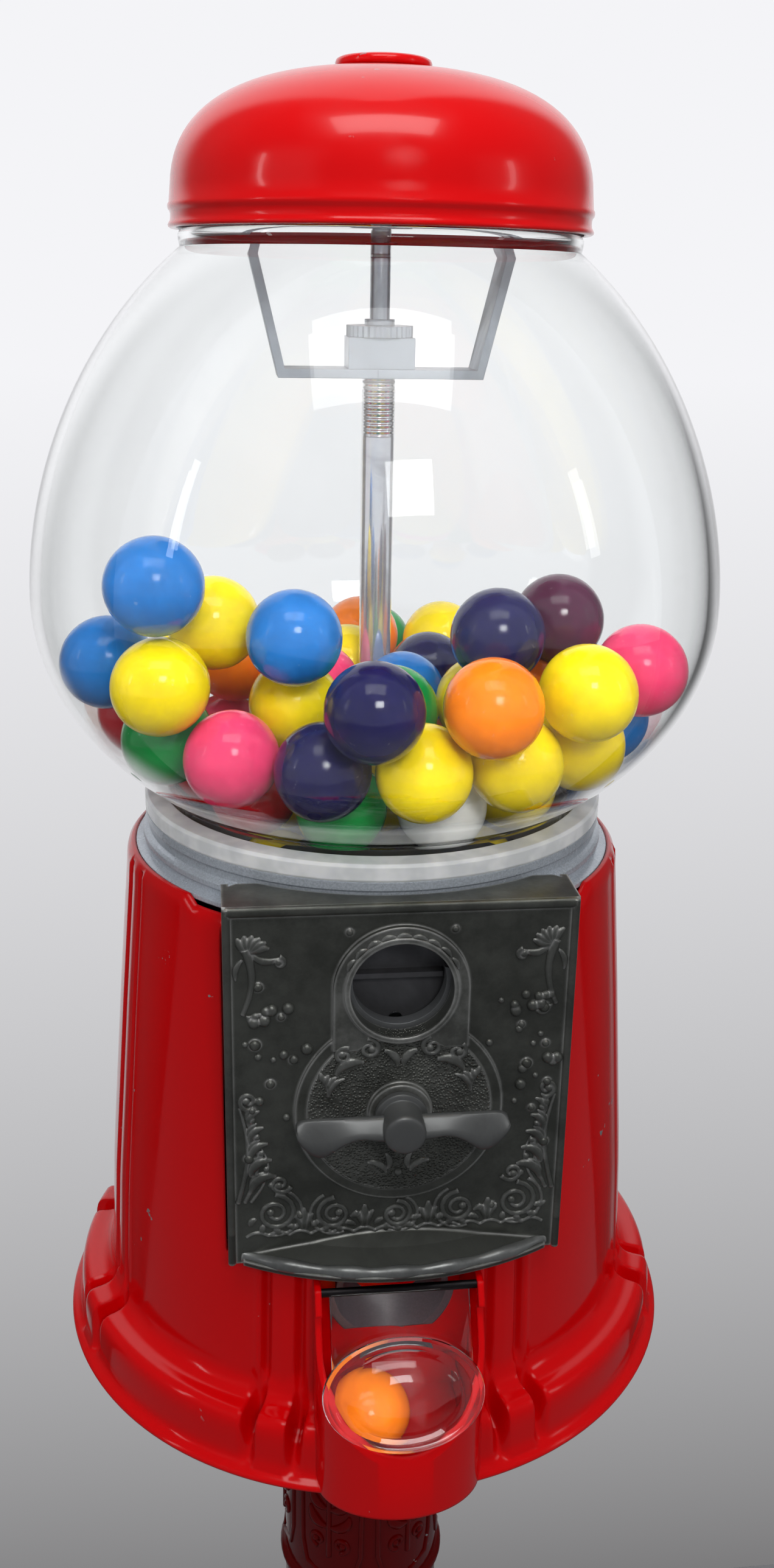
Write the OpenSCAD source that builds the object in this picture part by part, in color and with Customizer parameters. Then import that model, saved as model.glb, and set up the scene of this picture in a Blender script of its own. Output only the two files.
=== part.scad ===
// Gumball machine on a pedestal stand. Millimetres, +Z up, front of the machine faces -Y.
// Every sub-part is its own module; the numbers below are named once and shared by mating parts.

/* [Stand] */
// height of the stand, floor to the underside of the machine
stand_h = 559; // [450:1:650]
// radius of the round foot
foot_r = 140; // [120:1:160]
// height of the foot casting
foot_h = 64; // [50:1:80]
// thickness of the rubber ring under the foot
ring_t = 3; // [2:0.5:5]
// outer radius of the post
post_r = 28; // [24:0.5:32]
// wall of the post
post_wall = 3; // [2:0.5:5]
// radius of the tie rod inside the post
tie_r = 5; // [4:0.5:6]
// radius of the cap on top of the post
cap_r = 58; // [50:1:70]
// thickness of the cap
cap_t = 6; // [4:0.5:8]

/* [Body] */
// height of the body shell
body_h = 165; // [150:1:180]
// outer radius of the shell at its top edge
body_top_r = 75; // [70:0.5:80]
// outer radius of the shell just above the flange
body_foot_r = 85; // [80:0.5:90]
// radius of the thin rim of the flange
rim_r = 99.3; // [95:0.1:105]
// radius of the raised plateau of the flange
plateau_r = 95.7; // [92:0.1:99]
// height of the plateau
plateau_h = 18; // [14:0.5:22]
// wall of the shell
body_wall = 4.5; // [3.5:0.1:6]
// depth of the grooves beside each pilaster
groove_d = 2.2; // [1:0.1:3]
// angular width of each groove, degrees
groove_a = 2.6; // [1.5:0.1:4]
// angular width of each pilaster between its grooves, degrees
pil_a = 4.6; // [3:0.1:7]
// azimuth of the pilasters beside the chute, degrees from the front
pil_1 = 22.5; // [20:0.5:26]
// azimuth of the side pilasters, degrees from the front
pil_2 = 72.5; // [65:0.5:80]
// half width of the bump at the foot of each pilaster
bump_hw = 5.8; // [4:0.1:6.2]
// thickness of the bottom plate
bplate_t = 3; // [2:0.5:4]
// radius of the bottom plate
bplate_r = 90; // [85:0.5:92]

/* [Spout and flap] */
// outer radius of the spout cup
cup_r = 23.7; // [21:0.1:26]
// distance of the cup centre in front of the axis
cup_y = 84.3; // [80:0.1:90]
// height of the cup front
cup_h = 23; // [18:0.5:28]
// wall of the cup
cup_wall = 2.4; // [2:0.1:3.5]
// floor of the cup
cup_floor = 4; // [3:0.5:6]
// drop of the flap pivot below the plate
flap_drop = 4.5; // [3.5:0.5:6]
// distance of the flap pivot in front of the axis
flap_y = 85.2; // [83:0.1:88]
// lean of the flap from vertical, degrees
flap_lean = 30; // [25:0.5:35]
// half width of the upper panel of the flap
flap_hw = 19.7; // [17:0.1:22]
// thickness of the flap
flap_t = 1.6; // [1.2:0.1:2.4]
// radius of the flap pin
pin_r = 1.2; // [0.8:0.1:1.6]
// depth of the flap pin in each cheek
pin_in = 1.2; // [0.8:0.1:1.6]

/* [Coin mechanism] */
// distance of the plate front in front of the axis
plate_y = 76; // [74:0.5:80]
// half width of the plate
plate_hw = 47.2; // [44:0.1:50]
// height of the plate
plate_h = 109; // [105:0.5:112]
// rise of the plate above the body shell
plate_up = 8; // [6:0.5:9]
// thickness of the plate
plate_t = 3; // [2:0.5:4]
// half width of the awning over the flap
awn_hw = 43; // [38:0.5:45]
// depth of the side skirts
skirt_d = 12.5; // [8:0.5:14]
// depth of the handle shaft below the top of the body
shaft_down = 53; // [50:0.5:56]
// radius of the handle shaft
shaft_r = 4; // [3:0.1:5]
// radius of the coin hole
coin_hole_r = 13.9; // [12:0.1:15]
// height of the coin hole above the shaft
coin_up = 36.3; // [34:0.1:38]
// radius of the coin pocket in the coin wheel
coin_r = 12.7; // [11:0.1:14]
// radius of the coin wheel
coin_wheel_r = 42; // [38:0.5:43]
// thickness of the coin wheel
coin_wheel_t = 4; // [3:0.5:5]
// radius of the dial on the plate
dial_r = 28.5; // [26:0.5:30]
// half span of the handle
handle_hw = 28.7; // [25:0.1:30]
// distance from the plate to the back of the handle wings
handle_gap = 8; // [6:0.5:10]
// thickness of the wings, front to back
wing_t = 5; // [4:0.5:7]
// running clearance of pins and shafts in their bores
run = 0.06; // [0.02:0.01:0.1]
// radius of the idler pin
idler_pin_r = 2; // [1.5:0.1:3]

/* [Gears] */
// gear module
gm = 1.5; // [1.4:0.05:1.6]
// teeth of the pinion on the shaft
n_pinion = 12; // [12:1:12]
// teeth of the idler
n_idler = 16; // [16:1:16]
// teeth of the crown under the gumball wheel
n_crown = 72; // [72:1:72]
// width of the spur gears
gear_w = 3; // [2:0.5:4]

/* [Gumball wheel and hopper] */
// radius of one gumball
ball_r = 12.6; // [12:0.1:12.8]
// number of pockets
n_pocket = 6; // [6:1:6]
// radius of the circle of pockets
pocket_c = 34; // [33:0.5:35]
// radius of one pocket
pocket_r = 13.6; // [13.2:0.1:14]
// thickness of the gumball wheel
wheel_t = 18; // [16:0.5:20]
// outer radius of the hopper ring
ring_r = 70; // [68:0.5:72]
// rise of the hopper ring above the body shell
ring_up = 10.5; // [9:0.5:13]

/* [Globe] */
// largest outer radius of the globe
globe_r = 99; // [95:0.5:103]
// height of the widest place above the hopper ring
globe_up = 63.5; // [60:0.5:67]
// half height of the lower bulb
globe_b = 73; // [70:0.5:76]
// half height of the upper bulb
globe_t = 116; // [112:0.5:120]
// wall of the glass
glass_t = 3; // [2:0.1:4]
// outer radius of the neck
neck_r = 63; // [60:0.5:65]
// height of the upper rim above the widest place
mouth_up = 99; // [95:0.5:103]
// outer radius of the upper rim
mouth_r = 54.6; // [52:0.1:56]

/* [Lid, bracket and centre rod] */
// outer radius of the lid band
lid_r = 57.5; // [56:0.1:60]
// height of the band of the lid
band_h = 6.5; // [5:0.1:8]
// height of the dome above the band
dome_h = 33.5; // [30:0.5:37]
// wall of the lid
lid_t = 1.5; // [1:0.1:2.5]
// radius of the lid knob
knob_r = 12.8; // [11:0.1:15]
// radius of the threaded stem of the knob
stem_r = 5; // [4.5:0.1:6]
// height of the button of the knob
knob_h = 2.7; // [2:0.1:4]
// radius of the centre rod
rod_r = 2.8; // [2.4:0.1:3.2]
// outer radius of the chrome tube
tube_r = 4.7; // [4:0.1:6]
// drop of the bracket bar below the upper rim
bar_drop = 39; // [35:0.5:44]
// half width of the bracket at its bar
bar_hw = 28.5; // [25:0.1:32]
// half width of the bracket at the mouth
leg_hw = 38; // [35:0.1:41]
// width of the bracket strap
strap_w = 14; // [10:0.5:18]
// thickness of the bracket strap
strap_t = 2.4; // [1.5:0.1:3]

/* [Hidden] */
$fn = 64;
e = 0.01;
// the shell is slightly waisted: two rings of its outline
body_za = body_h*60/165; body_ra = body_foot_r - 1.8;
body_zb = body_h*119/165; body_rb = body_top_r + 3.6;
// heights, counted from the top of the shell
plate_z1 = body_h + plate_up; plate_z0 = plate_z1 - plate_h;
shaft_z = body_h - shaft_down;
flap_z = plate_z0 - flap_drop;
flap_len = (flap_z - cup_h + 0.74)/cos(flap_lean);
// height of the rounded tip of the flap
flap_round = 13.5;
// the bulge of the flap: its ball, half its opening, where it stops above the tip and below the pin
bulge_r = 27; bulge_hw = flap_hw - 2.1; bulge_tip = 3; bulge_drop = 12;
bulge_len = flap_len - bulge_tip - bulge_drop;
ring_z = body_h + ring_up;
globe_zc = ring_z + globe_up;
mouth_z = globe_zc + mouth_up; lid_z = mouth_z;
bar_z = mouth_z - bar_drop;
machine_h = lid_z + band_h + dome_h + 0.3 + knob_h;
plate_b = plate_y - plate_t;
cw_f = plate_b - 0.6;
cw_b = cw_f - coin_wheel_t;
bp_f = cw_b - 4; bp_t = 2; bp_b = bp_f - bp_t;
r_pin = gm*n_pinion/2; r_idl = gm*n_idler/2; r_crn = gm*n_crown/2;
idl_z = shaft_z + r_pin + r_idl;
z_mesh = idl_z + r_idl;
add = 1.2; ded = 1.9;
wheel_z = z_mesh + ded;
wheel_r = r_crn + 4.5;
gear_f = r_crn + gear_w/2; gear_b = r_crn - gear_w/2;
floor_z = wheel_z - 0.9;
tray_in = wheel_r + 1; tray_out = tray_in + 2;
trench_z = z_mesh - add - 3;
shelf_z = body_h - 1.5;
flange_r = body_top_r - 2.8;
coin_z = shaft_z + coin_up;
gasket_z = ring_z + 2;
chute_r = ball_r + 1.9; chute_o = chute_r + 2;
z_neck = globe_zc - globe_b*sqrt(1 - pow(neck_r/globe_r, 2));
tube_z0 = wheel_z + wheel_t + 1;
block_z = bar_z + strap_t;
nut_z = block_z + 8.3;

// ---- helpers ----
module up() { translate([0,0,stand_h]) children(); }
// cylinder along Y, from f0 to f1 in front of the axis
module yc(r, f0, f1, z=0, x=0) { translate([x,-f0,z]) rotate([90,0,0]) cylinder(r=r, h=f1-f0); }
// 2-D outline in X and Z, from f0 to f1 in front of the axis
module ye(f0, f1) { translate([0,-f0,0]) rotate([90,0,0]) linear_extrude(f1-f0) children(); }
module az(a) { rotate([0,0,a-90]) children(); }
module gear2(n, ph) {
  r = gm*n/2;
  circle(r=r-ded);
  for (k=[0:n-1]) rotate(90+ph+k*360/n)
    polygon([[r-ded-0.6,-1.15],[r-ded,-1.15],[r,-0.75],[r+add,-0.38],[r+add,0.38],[r,0.75],[r-ded,1.15],[r-ded-0.6,1.15]]);
}
module hexnut(af, h, hole) { difference() { cylinder(r=af/sqrt(3), h=h, $fn=6); translate([0,0,-1]) cylinder(r=hole, h=h+2); } }

// ---- stand ----
module stand_foot() color([0.62,0.02,0.03]) {
  rotate_extrude() polygon([[foot_r-3,ring_t],[foot_r,ring_t+3],[foot_r,ring_t+9],[foot_r-5,ring_t+13],[foot_r-12,ring_t+14],
    [foot_r-20,ring_t+18],[foot_r*0.66,ring_t+25],[foot_r*0.46,ring_t+33],[post_r+18,foot_h-18],[post_r+9,foot_h-11],
    [post_r+9,foot_h-7],[post_r+6,foot_h-5],[post_r+6,foot_h],[post_r,foot_h],[post_r,foot_h-20],[tie_r+0.5,foot_h-20],
    [tie_r+0.5,foot_h-26],[post_r+10,foot_h-26],[foot_r*0.46,ring_t+25],[foot_r*0.66,ring_t+18],[foot_r-20,ring_t+11],
    [foot_r-13,ring_t+6],[foot_r-13,ring_t]]);
}
module foot_ring() color([0.05,0.05,0.05])
  difference() { cylinder(r=foot_r-3.5, h=ring_t); translate([0,0,-1]) cylinder(r=foot_r-12.5, h=ring_t+2); }
module stand_post() color([0.55,0.01,0.02]) {
  z0 = foot_h-20; z1 = stand_h-cap_t;
  difference() {
    union() {
      translate([0,0,z0]) cylinder(r=post_r, h=z1-z0);
      for (z=[foot_h+4, foot_h+14, stand_h-118, stand_h*0.5-40, stand_h*0.5+40])
        translate([0,0,z]) rotate_extrude() translate([post_r-0.5,0]) circle(r=2.4, $fn=32);
      translate([0,0,z1-14]) rotate_extrude() polygon([[post_r-1,0],[post_r,0],[post_r+6,9],[post_r+6,14],[post_r-1,14]]);
    }
    translate([0,0,z0-1]) cylinder(r=post_r-post_wall, h=z1-z0+2);
  }
}
module stand_cap() color([0.55,0.01,0.02]) {
  difference() {
    union() {
      translate([0,0,stand_h-cap_t]) cylinder(r=cap_r, h=cap_t);
      translate([0,0,stand_h-cap_t-18]) cylinder(r=12, h=19);
    }
    translate([0,0,stand_h-cap_t-20]) cylinder(r=tie_r, h=40);
    for (k=[0:2]) rotate(90+120*k) translate([42,0,stand_h-cap_t-1]) cylinder(r=3.1, h=20);
  }
}
module stand_tie_rod() color([0.6,0.6,0.62]) translate([0,0,foot_h-42]) cylinder(r=tie_r, h=stand_h-1-foot_h+42);
module tie_rod_nut() color([0.6,0.6,0.62]) translate([0,0,foot_h-34]) hexnut(17, 8, tie_r);
module cap_bolts() color([0.6,0.6,0.62]) for (k=[0:2]) rotate(90+120*k) translate([42,0,stand_h]) {
  translate([0,0,-cap_t-8]) cylinder(r=3, h=cap_t+8+bplate_t+1);
  translate([0,0,bplate_t]) cylinder(r=5.5/cos(30), h=4, $fn=6);
}
module cap_nuts() color([0.6,0.6,0.62]) for (k=[0:2]) rotate(90+120*k) translate([42,0,stand_h-cap_t-5]) hexnut(10, 5, 3);

// ---- body ----
module body_band(d0, d1) polygon([[body_foot_r-d0,plateau_h-1],[body_foot_r+d1,plateau_h-1],[body_foot_r+d1,plateau_h+3],
  [body_ra+d1,body_za],[body_rb+d1,body_zb],[body_top_r+d1,body_h-4],[body_top_r+d1,body_h+1],[body_top_r-d0,body_h+1],
  [body_top_r-d0,body_h-4],[body_rb-d0,body_zb],[body_ra-d0,body_za],[body_foot_r-d0,plateau_h+3]]);
module flap_frame() translate([0,-flap_y,flap_z]) rotate([-flap_lean,0,0]) children();
module base_body() color([0.8,0.02,0.03]) up() {
  pils = [pil_1,pil_2,180-pil_2,180-pil_1,180+pil_1,180+pil_2,360-pil_2,360-pil_1];
  ci = cup_r - cup_wall;
  difference() {
    union() {
      difference() {
        union() {
          difference() {
            // outside of the shell with its flange
            rotate_extrude() polygon([[0,0],[rim_r,0],[rim_r+0.4,1],[rim_r,2],[plateau_r+1,3],[plateau_r,4.5],[plateau_r,plateau_h-3.5],
              [plateau_r-1.3,plateau_h-1],[plateau_r-4,plateau_h],[body_foot_r+4.2,plateau_h+0.6],[body_foot_r+1.6,plateau_h+2],
              [body_foot_r,plateau_h+6],[body_ra,body_za],[body_rb,body_zb],[body_top_r,body_h-4.5],[body_top_r-1,body_h-1.6],[body_top_r-2,body_h],[0,body_h]]);
            // channels through the plateau and grooves beside every pilaster
            for (a=pils) {
              for (s=[-1,1]) az(a + s*(pil_a+groove_a)/2 - groove_a/2) rotate_extrude(angle=groove_a) body_band(groove_d, 12);
              az(a - pil_a*1.1) rotate_extrude(angle=pil_a*2.2)
                polygon([[body_foot_r+1,3.4],[rim_r+3,3.4],[rim_r+3,plateau_h+9],[body_foot_r+1,plateau_h+9]]);
            }
            // the lip is lower beside the plate
            for (s=[-1,1]) az(s*49-(s>0?25:0)) rotate_extrude(angle=25)
              polygon([[body_top_r-2.6,body_h-2.6],[body_top_r+3,body_h-7],[body_top_r+3,body_h+3],[body_top_r-2.6,body_h+3]]);
          }
          // bump at the foot of every pilaster
          for (a=pils) az(a) { translate([body_foot_r-4,-bump_hw,2]) cube([plateau_r-1-bump_hw-body_foot_r+4,2*bump_hw,plateau_h-3]);
            translate([plateau_r-1-bump_hw,0,2]) cylinder(r=bump_hw, h=plateau_h-3);
            translate([body_foot_r-4,-bump_hw+1,2]) cube([plateau_r-2-bump_hw-body_foot_r+4,2*bump_hw-2,plateau_h-2]);
            translate([plateau_r-2-bump_hw,0,2]) cylinder(r=bump_hw-1, h=plateau_h-2); }
        }
        // hollow inside
        rotate_extrude() polygon([[0,-1],[bplate_r+0.3,-1],[bplate_r+0.3,bplate_t],[body_foot_r-4,bplate_t],[body_foot_r-body_wall,plateau_h],
          [body_ra-body_wall,body_za],[body_rb-body_wall,body_zb],[body_top_r-body_wall,shelf_z-6],[tray_out+0.8,shelf_z-4],[tray_out+0.8,shelf_z],
          [flange_r+0.3,shelf_z],[flange_r+0.3,body_h+1],[0,body_h+1]]);
      }
      // spout cup with its cheeks
      translate([0,-cup_y,0]) cylinder(r=cup_r, h=flap_z+2);
      translate([-cup_r,-cup_y,0]) cube([2*cup_r,cup_y-58,flap_z+2]);
    }
    // seat of the coin mechanism
    translate([-plate_hw-0.4,-120,plate_z0-1.4]) cube([2*plate_hw+0.8,120-58,shelf_z-2.6-plate_z0]);
    translate([-plate_hw-0.4,-120,plate_z0-1.4]) cube([2*plate_hw+0.8,120-plate_b+0.2,200]);
    // room for the leaning flap and its barrels
    flap_frame() { translate([-cup_r-0.5,-60,-70]) cube([2*cup_r+1,60+0.9,64]);
      translate([-cup_r-0.5,-60,-70]) cube([2*cup_r+1,60-pin_r-1.5,76]); }
    // inside of the cup and opening of the chute
    translate([0,-cup_y,cup_floor]) cylinder(r=ci, h=100);
    translate([-ci,-cup_y,cup_floor]) cube([2*ci,cup_y-60,100]);
    translate([-ci,-cup_y,plate_z0-30]) cube([2*ci,cup_y-50,60]);
    // holes that hold the flap pin
    flap_frame() translate([-ci-pin_in,0,0]) rotate([0,90,0]) cylinder(r=pin_r, h=2*(ci+pin_in));
    for (k=[0:3]) rotate(45+90*k) translate([bplate_r-5.5,0,-1]) cylinder(r=1.8, h=13);
  }
}
module base_plate() color([0.3,0.3,0.32]) up() difference() {
  union() {
    difference() { cylinder(r=bplate_r, h=bplate_t);
      translate([-cup_r-1,-200,-1]) cube([2*cup_r+2,200-58,bplate_t+2]); }
    cylinder(r=11, h=11);
  }
  translate([0,0,-1]) cylinder(r=rod_r, h=20);
  for (k=[0:2]) rotate(90+120*k) translate([42,0,-1]) cylinder(r=3.1, h=20);
  for (k=[0:3]) rotate(45+90*k) translate([bplate_r-5.5,0,-1]) cylinder(r=1.9, h=13);
}
module body_screws() color([0.6,0.6,0.62]) up() for (k=[0:3]) rotate(45+90*k) translate([bplate_r-5.5,0,0]) {
  cylinder(r=1.8, h=11.5); translate([0,0,-1.8]) cylinder(r=3.6, h=1.8); }

// ---- gumball chute ----
module gum_chute() color([0.72,0.73,0.75]) up() {
  ez = plate_z0 + 16; ea = 41;
  difference() {
    union() {
      translate([0,-pocket_c,ez]) cylinder(r=chute_o, h=trench_z-3-ez);
      translate([0,-pocket_c,ez]) sphere(r=chute_o+0.5);
      translate([0,-pocket_c,ez]) rotate([90+ea,0,0]) cylinder(r=chute_o, h=60);
      translate([0,-pocket_c,trench_z-5]) cylinder(r=chute_o+1.5, h=2);
    }
    translate([0,-pocket_c,ez]) cylinder(r=chute_r, h=100);
    translate([0,-pocket_c,ez]) sphere(r=chute_r+0.4);
    translate([0,-pocket_c,ez]) rotate([90+ea,0,0]) cylinder(r=chute_r, h=80);
    translate([-60,-200,-20]) cube([120,200-body_foot_r+body_wall+9,200]);
    translate([-60,-200,plate_z0-6]) cube([120,200-51.6,60]);
  }
}

// ---- coin mechanism ----
module coin_plate() color([0.24,0.25,0.26]) up() difference() {
  union() {
    ye(plate_b, plate_y) translate([-plate_hw,plate_z0]) square([2*plate_hw,plate_z1-plate_z0]);
    // rolled edges
    for (s=[-1,1]) translate([s*(plate_hw-1.1),-plate_y+0.1,plate_z0]) cylinder(r=1.1, h=plate_z1-plate_z0-0.5);
    translate([-plate_hw+1,-plate_y+0.3,plate_z1-1.5]) rotate([0,90,0]) cylinder(r=1.5, h=2*plate_hw-2);
    // side skirts
    for (s=[-1,1]) translate([s*(plate_hw-1)-1,-plate_b-e,plate_z0+4]) cube([2,skirt_d,plate_z1-plate_z0-4]);
    // ledge round the hopper ring
    translate([0,0,plate_z1-2.2]) difference() {
      linear_extrude(2.2) polygon([[-plate_hw,-plate_b-1],[plate_hw,-plate_b-1],[plate_hw,-64],[plate_hw-4,-60.5],[plate_hw-9,-60.5],
        [-plate_hw+9,-60.5],[-plate_hw+4,-60.5],[-plate_hw,-64]]);
      translate([0,0,-1]) cylinder(r=ring_r+1.2, h=5);
    }
    // dial, arch round the coin hole and border
    yc(dial_r, plate_y-1, plate_y+1.1, shaft_z);
    yc(dial_r-3.2, plate_y-1, plate_y+1.5, shaft_z);
    ye(plate_y-1, plate_y+1.9) difference() {
      union() { translate([0,coin_z]) circle(r=coin_hole_r+4.4);
        translate([-coin_hole_r-4.4,shaft_z+dial_r*0.66]) square([2*coin_hole_r+8.8,coin_z-shaft_z-dial_r*0.66]); }
      translate([0,shaft_z]) circle(r=dial_r*0.78);
    }
    ye(plate_y-1, plate_y+2.6) translate([0,coin_z]) circle(r=coin_hole_r+1.5);
    // awning over the flap
    translate([0,0,plate_z0-1]) intersection() {
      rotate_extrude() polygon([[plate_b-1,0.6],[86.5,0],[88.3,1.1],[88.6,2.6],[86.6,3.8],[80,6.5],[plate_y-0.5,10],[plate_b-1,10]]);
      translate([-awn_hw,-120,-5]) cube([2*awn_hw,120-plate_b,30]);
    }
    // beads of the relief
    for (p=[[-38,38,1.3],[-32,29,1],[-39,21,1.6],[-29,16,1],[-35,9,1.3],[-40,1,1],[39,29,1.5],[33,24,1],[40,18,1.1],[35,12,1.5],[41,6,1.2],[37,-2,1],[-41,-14,1.4],[41,-13,1.4],[-27,-33,1.1],[27,-33,1.1],[-14,53,1],[14,53,1]])
      translate([p[0],-plate_y,shaft_z+p[1]]) sphere(r=p[2], $fn=24);
    // bosses for the back plate and the bearing of the shaft
    for (s=[-1,1], z=[plate_z0+5,shelf_z-10]) yc(3.4, bp_f, plate_b+e, z, s*(plate_hw-6.4));
    yc(8.6, plate_y-1, plate_y+3.4, shaft_z);
  }
  yc(coin_hole_r, plate_b-3, plate_y+6, coin_z);
  yc(shaft_r+run, plate_b-3, plate_y+9, shaft_z);
  for (s=[-1,1], z=[plate_z0+5,shelf_z-10]) yc(1.5, bp_f-1, bp_f+6, z, s*(plate_hw-6.4));
}
module mech_back_plate() color([0.55,0.56,0.58]) up() difference() {
  union() {
    ye(bp_b, bp_f) translate([-plate_hw+2.6,plate_z0+0.6]) square([2*plate_hw-5.2,shelf_z-5.2-plate_z0]);
    translate([-12.5,-bp_f-3.2,coin_z-1.4]) cube([25,3.3,1.6]);
    yc(7.5, bp_b-3, bp_b+e, shaft_z);
  }
  yc(shaft_r+run, bp_b-5, bp_f+5, shaft_z);
  yc(idler_pin_r, bp_b-5, bp_f+5, idl_z);
  yc(1.6, bp_b-5, bp_f+5, shaft_z+4, 25);
  yc(1.6, bp_b-5, bp_f+5, shaft_z+22, 30);
  for (s=[-1,1], z=[plate_z0+5,shelf_z-10]) yc(1.6, bp_b-1, bp_f+1, z, s*(plate_hw-6.4));
  // room for the chute
  ye(bp_b-5, bp_f+5) translate([-chute_o-1,plate_z0-1]) square([2*chute_o+2,8]);
}
module mech_screws() color([0.6,0.6,0.62]) up() for (s=[-1,1], z=[plate_z0+5,shelf_z-10]) {
  yc(1.5, bp_b-0.5, bp_f+5.5, z, s*(plate_hw-6.4)); yc(3, bp_b-2, bp_b, z, s*(plate_hw-6.4)); }
module coin_wheel() color([0.5,0.5,0.5]) up() difference() {
  union() { yc(coin_wheel_r, cw_b, cw_f, shaft_z); }
  yc(coin_r, cw_b-1, cw_f+1, coin_z);
  ye(cw_b-1, cw_f+1) translate([-coin_r*0.86,coin_z+coin_r*0.5]) square([coin_r*1.72,20]);
  for (a=[120,240]) ye(cw_b-1, cw_f+1) translate([0,shaft_z]) rotate(a) translate([0,coin_up*0.62]) circle(r=9);
  yc(shaft_r, cw_b-1, cw_f+1, shaft_z);
}
module handle_shaft() color([0.62,0.62,0.64]) up() yc(shaft_r, gear_b-1.2, plate_y+handle_gap+wing_t-2, shaft_z);
module wing_outline() {
  for (s=[0,1]) mirror([s,0]) polygon([[0,2.4],[handle_hw-1.4,2.4],[handle_hw-0.3,1.5],[handle_hw,0],[handle_hw-0.6,-2.6],[handle_hw-2.4,-4.8],
    [handle_hw-5,-6.2],[handle_hw-8.4,-6.6],[handle_hw-11.6,-5.9],[handle_hw-14.8,-4.4],[handle_hw-18,-2.8],[handle_hw-21,-2],[0,-2]]);
  circle(r=5.8);
}
module turn_handle() color([0.42,0.43,0.44]) up() difference() {
  union() {
    ye(plate_y+handle_gap, plate_y+handle_gap+wing_t) translate([0,shaft_z]) wing_outline();
    yc(7.2, plate_y+3.8, plate_y+handle_gap+e, shaft_z);
    yc(5.8, plate_y+handle_gap, plate_y+handle_gap+wing_t+2.2, shaft_z);
  }
  yc(shaft_r, plate_y, plate_y+handle_gap+wing_t-2, shaft_z);
}
module handle_nut() color([0.6,0.6,0.62]) up() ye(gear_b-0.9, gear_b-0.1) difference() {
  translate([0,shaft_z]) circle(r=6.4); translate([0,shaft_z]) circle(r=shaft_r); }
module ratchet_wheel() color([0.55,0.5,0.3]) up() ye(bp_f+0.5, cw_b-0.4) translate([0,shaft_z]) difference() {
  union() { circle(r=12);
    for (k=[0:11]) rotate(k*30) polygon([[11,-3.4],[14,0],[11,0.4]]); }
  circle(r=shaft_r);
}
module shaft_pinion() color([0.75,0.62,0.3]) up() ye(gear_b, gear_f) translate([0,shaft_z]) difference() {
  gear2(n_pinion, 0); circle(r=shaft_r); }
module idler_gear() color([0.85,0.85,0.82]) up() ye(gear_b, gear_f) translate([0,idl_z]) difference() {
  gear2(n_idler, 180/n_idler); circle(r=idler_pin_r+run); }
module idler_pin() color([0.6,0.6,0.62]) up() { yc(idler_pin_r, gear_b-1.5, bp_f, idl_z); yc(idler_pin_r+1.6, gear_f+0.5, bp_b, idl_z); }
module ratchet_pawl() color([0.6,0.6,0.62]) up() ye(bp_f+0.6, cw_b-0.6) difference() {
  union() { translate([25,shaft_z+4]) circle(r=4);
    polygon([[22.5,shaft_z+1.2],[15.2,shaft_z-0.8],[15.0,shaft_z+1.2],[22,shaft_z+6.4]]);
    polygon([[24,shaft_z+7.4],[27.4,shaft_z+6.6],[30.4,shaft_z+12.4],[28.6,shaft_z+13.2]]); }
  translate([25,shaft_z+4]) circle(r=1.6+run);
}
module pawl_pin() color([0.6,0.6,0.62]) up() yc(1.6, bp_b-0.6, cw_b-0.5, shaft_z+4, 25);
module pawl_spring() color([0.66,0.66,0.68]) up() { yc(1.6, bp_b-0.6, bp_f, shaft_z+22, 30);
  ye(bp_f, cw_b-0.8) { translate([30,shaft_z+22]) circle(r=2.6); polygon([[31.6,shaft_z+22],[32.4,shaft_z+22],[33.2,shaft_z+11],[32.4,shaft_z+11]]); } }

// ---- hopper ----
module hopper_tray() color([0.68,0.7,0.73]) up() difference() {
  rotate_extrude() polygon([[rod_r+0.4,trench_z-3],[tray_out,trench_z-3],[tray_out,shelf_z],[flange_r,shelf_z],[flange_r,shelf_z+1.3],
    [ring_r-0.6,shelf_z+1.8],[ring_r-0.6,shelf_z+3.4],[ring_r,shelf_z+3.9],[ring_r,shelf_z+5.4],[ring_r-0.7,shelf_z+6],[ring_r-1.8,shelf_z+6.6],
    [ring_r-1.8,ring_z-3],[ring_r-1,ring_z-2.4],[ring_r-1,ring_z],[tray_in+1,ring_z],[tray_in,ring_z-2],[tray_in,trench_z],
    [r_crn-4.4,trench_z],[r_crn-4.4,floor_z],[rod_r+0.4,floor_z]]);
  translate([0,-pocket_c,trench_z-9]) cylinder(r=chute_r, h=30);
  translate([-r_idl-3,-gear_f-1,trench_z-5]) cube([2*r_idl+6,gear_w+2,8]);
}
module gumball_wheel() color([0.1,0.1,0.11]) up() difference() {
  union() {
    translate([0,0,wheel_z]) cylinder(r=wheel_r, h=wheel_t);
    for (k=[0:n_crown-1]) az(k*360/n_crown) translate([r_crn-3,0,wheel_z+0.5])
      rotate([0,90,0]) linear_extrude(6) polygon([[0,-1.1],[0,1.1],[0.5,1.1],[0.5+ded,0.7],[0.5+ded+add,0.35],[0.5+ded+add,-0.35],[0.5+ded,-0.7],[0.5,-1.1]]);
  }
  for (k=[0:n_pocket-1]) az(k*360/n_pocket) translate([pocket_c,0,wheel_z-5]) cylinder(r=pocket_r, h=wheel_t+10);
  translate([0,0,wheel_z-5]) cylinder(r=tube_r+run, h=wheel_t+10);
}
module outlet_cover() color([0.07,0.07,0.08]) up() {
  cz = floor_z + 2*ball_r + 0.7;
  translate([0,0,cz]) difference() {
    union() { cylinder(r=9.5, h=1.6); az(-40) rotate_extrude(angle=80) translate([4,0]) square([48,1.6]); }
    translate([0,0,-1]) cylinder(r=tube_r, h=4);
  }
}
module ball(p) translate(p) sphere(r=ball_r);
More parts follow.
